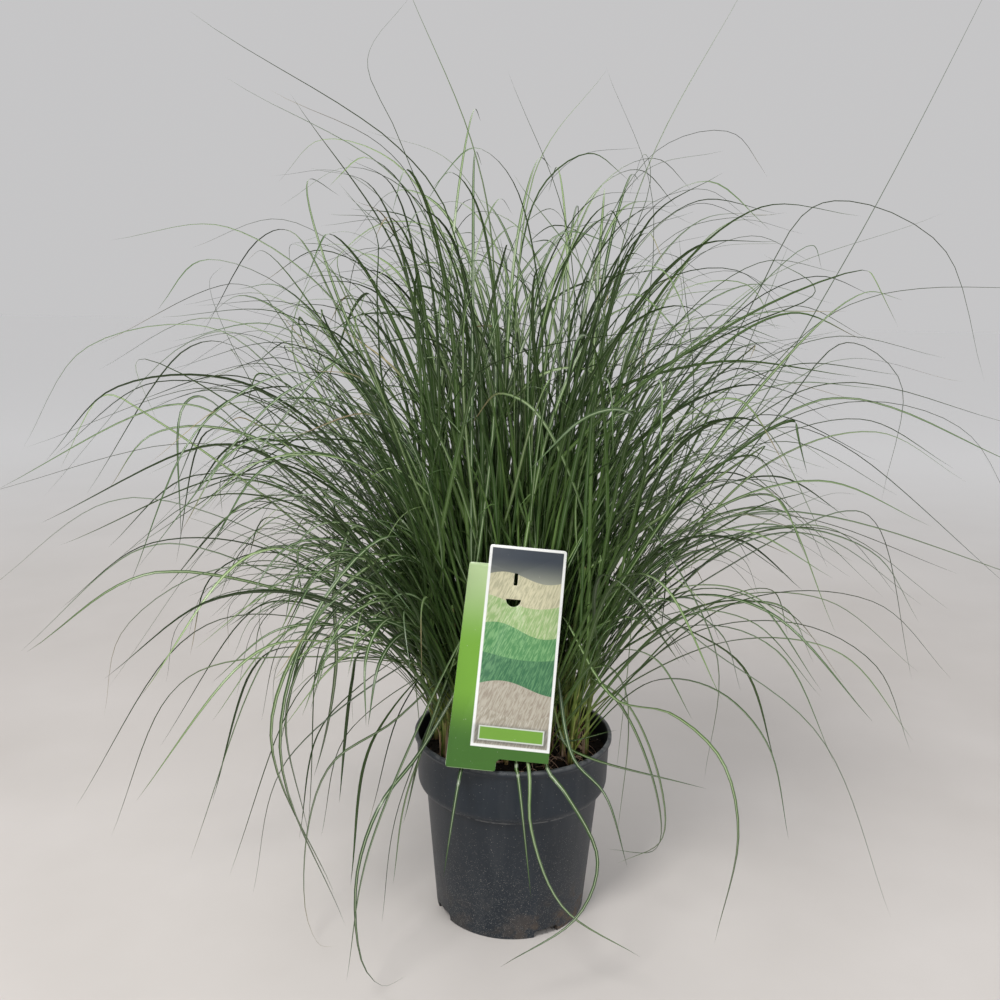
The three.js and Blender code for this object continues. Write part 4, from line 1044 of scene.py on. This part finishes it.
DARK_FOOT, PALE_FOOT, FOOT_TOP = (0.14, 0.22, 0.045), (0.50, 0.54, 0.15), (0.01, 0.17)
STEM_GREEN, STEM_RUST, STEM_FIBRE = (0.11, 0.21, 0.045), (0.55, 0.33, 0.20), (0.48, 0.50, 0.24)
SOILED_STEM, SOILED_TOP = (0.20, 0.085, 0.05), 0.012
stem_skin, tree, shader = new_material("stem_skin", Specular_IOR_Level=0.4)
above_soil, around, tones, fibres = blade_values(tree, 40)
patches = place_group(tree, patchy_tone, Scale=70, Spread=1.8)
foot_colour = mixed(tree, tones[0], DARK_FOOT, PALE_FOOT)
colour = mixed(tree, ramp(tree, above_soil, *FOOT_TOP), foot_colour, STEM_GREEN)
colour = mixed(tree, ramp(tree, patches, 0.55, 0.8, 0, 0.5), colour, STEM_RUST)
colour = mixed(tree, ramp(tree, fibres, 0.4, 0.9, 0, 0.3), colour, STEM_FIBRE)
colour = mixed(tree, ramp(tree, above_soil, SOILED_TOP, 0, 0, 0.8), colour, SOILED_STEM)
tree.links.new(ramp(tree, patches, 0.3, 0.8, 0.42, 0.65), shader.inputs["Roughness"])
coat(tree, shader, colour, fibres, 0.4, 0.0003)


def blades_piece(name, blades, materials, stem=((), (), ())):
    """A piece from blades, each its points, its places along the blade and its tones, after a stem."""
    stem_points, stem_faces, stem_map = stem
    points, faces, blade_map = [], list(stem_faces), list(stem_map)
    tone_values, margins, first = [], [], 0
    if len(stem_points):
        points.append(stem_points)
        tone_values.append(np.tile([chance.uniform(), chance.uniform(), 0, 1], (len(stem_points), 1)))
        first = len(stem_points)
    for shape, map_along, tones in blades:
        points.append(shape)
        faces += [[index + first for index in face] for face in leaf_faces]
        blade_map += [(map_along[round(row * LEAF_STEPS)], turn) for row, turn in leaf_map]
        tone_values.append(np.tile([*tones, 1], (len(shape), 1)))
        margins.append(first)
        first += len(shape)
    piece = mesh_piece(name, np.concatenate(points), faces)
    mesh = piece.data
    mesh.uv_layers.new(name="blade").data.foreach_set("uv", np.array(blade_map).ravel())
    tone_layer = mesh.attributes.new("leaf_tone", "FLOAT_COLOR", "POINT")
    tone_layer.data.foreach_set("color", np.concatenate(tone_values).ravel())
    for material in materials:
        mesh.materials.append(material)
    is_leaf = (np.arange(len(faces)) >= len(stem_faces)) & (len(materials) > 1)
    mesh.polygons.foreach_set("material_index", is_leaf.astype(int))
    mesh.polygons.foreach_set("use_smooth", np.ones(len(faces), bool))
    # The margins stay sharp, so that the upper side and the underside each shade on their own.
    on_margin = np.zeros(len(mesh.vertices), bool)
    margin_points = np.flatnonzero(np.abs(leaf_points[:, 0]) > 0.5)
    for first in margins:
        on_margin[first + margin_points] = True
    ends = np.zeros(len(mesh.edges) * 2, int)
    mesh.edges.foreach_get("vertices", ends)
    sharp = mesh.attributes.new("sharp_edge", "BOOLEAN", "EDGE")
    sharp.data.foreach_set("value", on_margin[ends.reshape(-1, 2)].all(axis=1))
    return piece


tiller_names = sorted(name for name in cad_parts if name.startswith("tiller_"))
tillers = {name: read_tiller(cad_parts[name]) for name in tiller_names}
for name, (stem, leaves) in tillers.items():
    stem_shape = make_stem(stem, [leaf["middles"][0][2] for leaf in leaves])
    blades = []
    for leaf in leaves:
        fold = chance.uniform(*LEAF_FOLDS)
        blades.append(grow_leaf(stem, leaf, STRAIGHT_COPY, fold, chance.uniform() ** 1.5))
        for sister in range(sister_count(leaf)):
            for attempt in range(SISTER_TRIES):
                made = grow_leaf(stem, leaf, drawn_change(leaf), fold, chance.uniform())
                if made:
                    blades.append(made)
                    break
    piece_name = "leafy_" + name.replace("tiller", "stem")
    piece = blades_piece(piece_name, blades, [stem_skin, leaf_skin], stem_shape)
    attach(piece, "root")
    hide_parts(name)

# The papery sheaths of last year's leaves, tan to rust, still stand round the feet of the stems, and a few
# dry leaves have dropped among them.
DRY_SHEATHS, DRY_HEIGHTS, DRY_SPLAYS, DRY_WIDTHS, DRY_REACH = 3, (14, 52), (0.5, 9), (1.2, 3.2), 104
FALLEN_LEAVES, FALLEN_LENGTHS, FALLEN_WIDTHS = 34, (18, 55), (1.6, 3.6)
FALLEN_PLACES, FALLEN_LIFTS, FALLEN_REACH = (15, 90), (0.8, 4), 100
DRY_THICKNESS, DRY_FOLD, DRY_DETAIL = 0.3, 0.25, 8
TAN, RUSTY = (0.68, 0.50, 0.35), (0.56, 0.27, 0.17)
PALE_FIBRE, ROTTED = (0.76, 0.62, 0.48), (0.075, 0.040, 0.025)
dry_skin, tree, shader = new_material("dry_skin", Roughness=0.75, Specular_IOR_Level=0.25)
along, around, tones, fibres = blade_values(tree, 30)
colour = mixed(tree, ramp(tree, fibres, 0.35, 0.85, 0, 0.5), mixed(tree, tones[0], TAN, RUSTY), PALE_FIBRE)
colour = mixed(tree, ramp(tree, along, 0.18, 0, 0, 0.7), colour, ROTTED)
coat(tree, shader, colour, fibres, 0.5, 0.0003)


def dry_blade(points, side, widest):
    """A short dry blade through a few points."""
    line, places = between_points(np.array(points), DRY_DETAIL)
    middle, where, travelled = along_line(line, places)
    shares = travelled / travelled[-1]
    widths = widest * (1 - 0.85 * shares ** 2.5)
    twists = 0.8 * chance.normal() * shares
    sides = np.tile(side, (len(middle), 1))
    folds, thickness = np.full(len(middle), DRY_FOLD), np.full(len(middle), DRY_THICKNESS * MM)
    shape = lay_leaf(middle, sides, widths, folds, thickness, twists)
    return shape, shares, [chance.uniform(), chance.uniform(), 0]


dry_blades = []
for stem, leaves in tillers.values():
    for i in range(DRY_SHEATHS):
        out = level_way(chance.uniform(0, 2 * math.pi))
        height, splay = chance.uniform(*DRY_HEIGHTS) * MM, chance.uniform(*DRY_SPLAYS) * MM
        foot = stem_at(stem, (SOIL_TOP - 2) * MM)
        grip = out * (STEM_RADII[0] + 0.7) * MM
        points = [
            foot + grip,
            foot + grip * 1.15 + [0, 0, height * 0.4],
            foot + grip + out * splay * 0.35 + [0, 0, height * 0.8],
            foot + grip + out * splay + [0, 0, height],
        ]
        if math.hypot(*points[-1][:2]) < DRY_REACH * MM:
            dry_blades.append(dry_blade(points, np.cross(out, [0, 0, 1.0]), chance.uniform(*DRY_WIDTHS) * MM))
for i in range(FALLEN_LEAVES):
    start = chance.uniform(*FALLEN_PLACES) * level_way(chance.uniform(0, 2 * math.pi)) * MM
    way = level_way(chance.uniform(0, 2 * math.pi))
    length = chance.uniform(*FALLEN_LENGTHS) * MM
    points = [start + way * length * share for share in (0, 0.35, 0.7, 1)]
    if math.hypot(*points[-1][:2]) < FALLEN_REACH * MM:
        for point in points:
            point[2] = soil_height(point[0], point[1]) + chance.uniform(*FALLEN_LIFTS) * MM
        dry_blades.append(dry_blade(points, np.cross(way, [0, 0, 1.0]), chance.uniform(*FALLEN_WIDTHS) * MM))
sheaths = blades_piece("dry_sheaths", dry_blades, [dry_skin])
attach(sheaths, "root")


# The plant label: one die-cut sheet of glossy white plastic, printed on the front, with a punched slot and
# half-moon. It leans back on a stake that is pushed into the soil. Its print is a plain pattern of hills.
CARD_LEFT, CARD_RIGHT, CARD_TOP, CARD_FOOT = -24, 83, 211, -13
TAB_RIGHT, TAB_FOOT, TAB_FILLET, STRIP_TOP = 28.5, -26, 3, 190
CARD_THICKNESS, CARD_EDGE, CARD_CORNER, TIGHT_CORNER, CORNER_STEPS = 1.0, 0.2, 3.5, 1.5, 6
SLOT_LEFT, SLOT_RIGHT, SLOT_FOOT, SLOT_TOP, SLOT_CORNER = 29, 33, 169, 182, 1.2
MOON_MIDDLE, MOON_RADIUS, MOON_STEPS = (30.5, 154), 8, 16
STAKE_HALF, STAKE_PLACE, STAKE_FOOT, STAKE_POINT, STAKE_TOP = 7, (-30, -86), 125, 14, 236


def rounded(corners):
    """A closed outline whose corners, [across, up, radius], are rounded."""
    outline = []
    for i, (x, y, radius) in enumerate(corners):
        corner = Vector((x, y))
        before = Vector(corners[i - 1][:2]) - corner
        after = Vector(corners[(i + 1) % len(corners)][:2]) - corner
        start = corner + before.normalized() * radius
        end = corner + after.normalized() * radius
        for step in range(CORNER_STEPS + 1 if radius else 1):
            share = step / CORNER_STEPS
            outline.append((1 - share) ** 2 * start + 2 * share * (1 - share) * corner + share ** 2 * end)
    return outline


def flat_outline(name, outlines):
    """A sheet cut to outlines in millimetres, with softened edges. Across is X, up is Z, and it faces -Y."""
    curve = bpy.data.curves.new(name, "CURVE")
    curve.dimensions = "2D"
    curve.fill_mode = "BOTH"
    curve.extrude = (CARD_THICKNESS / 2 - CARD_EDGE) * MM
    curve.bevel_depth = CARD_EDGE * MM
    curve.bevel_resolution = 1
    curve.offset = -CARD_EDGE * MM
    for outline in outlines:
        spline = curve.splines.new("POLY")
        spline.points.add(len(outline) - 1)
        spline.use_cyclic_u = True
        for point, place in zip(spline.points, outline):
            point.co = (place[0] * MM, place[1] * MM, 0, 1)
    sheet = bpy.data.objects.new(name, curve)
    bpy.context.collection.objects.link(sheet)
    select_only(sheet)
    bpy.ops.object.convert(target="MESH")
    sheet = bpy.context.object
    start_edit()
    bpy.ops.mesh.remove_doubles(threshold=0.005 * MM)
    end_edit()
    sheet.data.transform(Matrix.Rotation(math.pi / 2, 4, "X"))
    return sheet


def map_print(sheet, place_on_print):
    """The sheet's own map of the print."""
    for layer in list(sheet.data.uv_layers):
        sheet.data.uv_layers.remove(layer)
    card_map = sheet.data.uv_layers.new(name="print")
    for loop in sheet.data.loops:
        card_map.data[loop.index].uv = place_on_print(sheet.data.vertices[loop.vertex_index].co)


card_outline = rounded([
    (CARD_LEFT + CARD_CORNER, STRIP_TOP, CARD_CORNER),
    (CARD_LEFT, TAB_FOOT, CARD_CORNER),
    (TAB_RIGHT, TAB_FOOT, CARD_CORNER),
    (TAB_RIGHT, CARD_FOOT - TAB_FILLET, TIGHT_CORNER),
    (TAB_RIGHT + TAB_FILLET, CARD_FOOT, TIGHT_CORNER),
    (CARD_RIGHT, CARD_FOOT, TIGHT_CORNER),
    (CARD_RIGHT, CARD_TOP, CARD_CORNER),
    (0, CARD_TOP, CARD_CORNER),
    (0, STRIP_TOP, 0.6),
])
slot_outline = rounded([
    (SLOT_LEFT, SLOT_FOOT, SLOT_CORNER),
    (SLOT_LEFT, SLOT_TOP, SLOT_CORNER),
    (SLOT_RIGHT, SLOT_TOP, SLOT_CORNER),
    (SLOT_RIGHT, SLOT_FOOT, SLOT_CORNER),
])
moon_turns = [-math.pi * step / MOON_STEPS for step in range(MOON_STEPS + 1)]
moon_outline = [
    Vector(MOON_MIDDLE) + MOON_RADIUS * Vector((math.cos(turn), math.sin(turn))) for turn in moon_turns
]
label = flat_outline("plant_label_card", [card_outline, slot_outline, moon_outline])
label.data.transform(Matrix.Translation((0, CARD_THICKNESS / 2 * MM, 0)))
map_print(label, lambda place: (place.x * 10, place.z * 10))
label.data.transform(label_place)
stake_outline = rounded([
    (0, STAKE_FOOT, 1),
    (STAKE_HALF, STAKE_FOOT + STAKE_POINT, 3),
    (STAKE_HALF, STAKE_TOP, 0.5),
    (-STAKE_HALF, STAKE_TOP, 0.5),
    (-STAKE_HALF, STAKE_FOOT + STAKE_POINT, 3),
])
stake = flat_outline("plant_label_stake", [stake_outline])
# The stake isn't printed, so it lies off the print's map.
map_print(stake, lambda place: (5, 5))
stake.data.transform(Matrix.Rotation(LABEL_TURNS[0], 4, "Z"))
stake.data.transform(Matrix.Translation((STAKE_PLACE[0] * MM, STAKE_PLACE[1] * MM, 0)))
select_only(label, stake)
bpy.ops.object.join()
smooth_by_angle(label, 35)

# The print, by places on the card in decimetres: left, right, foot and top.
STRIP_FIELD, CARD_FIELD = (-0.236, 0.9, -0.257, 1.896), (0, 0.9, -0.02, 2.2)
PICTURE, HILL_EDGE = (0.03, 0.80, 0.01, 2.08), 0.006
BAR_SHADE, BAR_RIM, BAR = (0.02, 0.80, 0.02, 0.21), (0.07, 0.76, 0.05, 0.20), (0.083, 0.747, 0.063, 0.187)
FRONT_WHITE, BACK_WHITE, STRIP_RIM = (0.80, 0.81, 0.80), (0.74, 0.75, 0.74), (0.42, 0.56, 0.33)
PALE_STRIP, GREEN_STRIP, DARK_STRIP = (0.42, 0.56, 0.28), (0.150, 0.34, 0.028), (0.040, 0.130, 0.012)
LOW_SKY, HIGH_SKY = (0.50, 0.52, 0.40), (0.030, 0.040, 0.055)
BAR_SHADE_GREY, BAR_RIM_GREEN, BAR_GREEN = (0.05, 0.06, 0.06), (0.58, 0.62, 0.56), (0.15, 0.32, 0.035)
LABEL_DUST = (0.55, 0.53, 0.48)
HILLS = [
    # level, swing, pitch, start, colour, hatch colour
    (1.78, 0.05, 7.0, 0.2, (0.56, 0.53, 0.36), (0.34, 0.33, 0.22)),
    (1.52, 0.06, 5.2, 1.9, (0.24, 0.38, 0.14), (0.48, 0.55, 0.33)),
    (1.22, 0.07, 6.1, 0.7, (0.065, 0.22, 0.075), (0.20, 0.40, 0.17)),
    (0.95, 0.04, 4.3, 2.6, (0.030, 0.13, 0.055), (0.11, 0.27, 0.12)),
    (0.62, 0.06, 5.6, 0.1, (0.43, 0.40, 0.33), (0.27, 0.23, 0.18)),
    (0.34, 0.05, 6.6, 1.4, (0.30, 0.27, 0.21), (0.50, 0.47, 0.40)),
]
label_print, tree, shader = new_material("label_print", Roughness=0.3, Coat_Weight=0.2, Coat_Roughness=0.14)
across, up, _ = apart(tree, put(tree, "UVMap", uv_map="print").outputs[0])


def inside_frame(left, right, foot, top, soft=0.004):
    """A mask for a rectangle on the card."""
    return product(
        tree,
        ramp(tree, across, left - soft, left + soft),
        ramp(tree, across, right + soft, right - soft),
        ramp(tree, up, foot - soft, foot + soft),
        ramp(tree, up, top + soft, top - soft),
    )


strip = mixed(tree, ramp(tree, up, 1.9, 1.0), PALE_STRIP, GREEN_STRIP)
strip = mixed(tree, ramp(tree, up, 0.6, 0.0), strip, DARK_STRIP)
strip = mixed(tree, inside_frame(*STRIP_FIELD), STRIP_RIM, strip)
field = mixed(tree, inside_frame(*CARD_FIELD), strip, FRONT_WHITE)
hills = mixed(tree, ramp(tree, up, 1.45, 2.0), LOW_SKY, HIGH_SKY)
for level, swing, pitch, start, colour, hatch in HILLS:
    bend = sums(tree, "SINE", sums(tree, "MULTIPLY_ADD", across, pitch, start))
    below = sums(tree, "SUBTRACT", sums(tree, "MULTIPLY_ADD", bend, swing, level), up)
    slanted = sums(tree, "MULTIPLY_ADD", below, 0.35, across)
    tuft_place = put(tree, "CombineXYZ", {0: product(tree, slanted, 62), 1: product(tree, below, 11)})
    tufts = mottle(tree, tuft_place.outputs[0], 1, 6, Distortion=0.5)
    band = mixed(tree, ramp(tree, tufts, 0.38, 0.68, 0, 0.9), colour, hatch)
    hills = mixed(tree, ramp(tree, below, 0, HILL_EDGE), hills, band)
field = mixed(tree, inside_frame(*PICTURE), field, hills)
# A plain green bar with a pale rim lies across the lower part.
field = mixed(tree, product(tree, inside_frame(*BAR_SHADE, 0.03), 0.6), field, BAR_SHADE_GREY)
field = mixed(tree, inside_frame(*BAR_RIM), field, BAR_RIM_GREEN)
field = mixed(tree, inside_frame(*BAR), field, BAR_GREEN)
facing = apart(tree, put(tree, "NewGeometry").outputs["Normal"])[1]
colour = mixed(tree, ramp(tree, facing, -0.3, -0.6), BACK_WHITE, field)
dust = place_group(tree, fine_specks, Scale=500, Size=0.24, Density=0.06)
colour = mixed(tree, product(tree, dust, 0.4), colour, LABEL_DUST)
coat(tree, shader, colour, mottle(tree, own_place(tree), 26, 2), 0.25, 0.002)
label.data.materials.clear()
label.data.materials.append(label_print)
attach(label, "root")
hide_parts("plant_label")
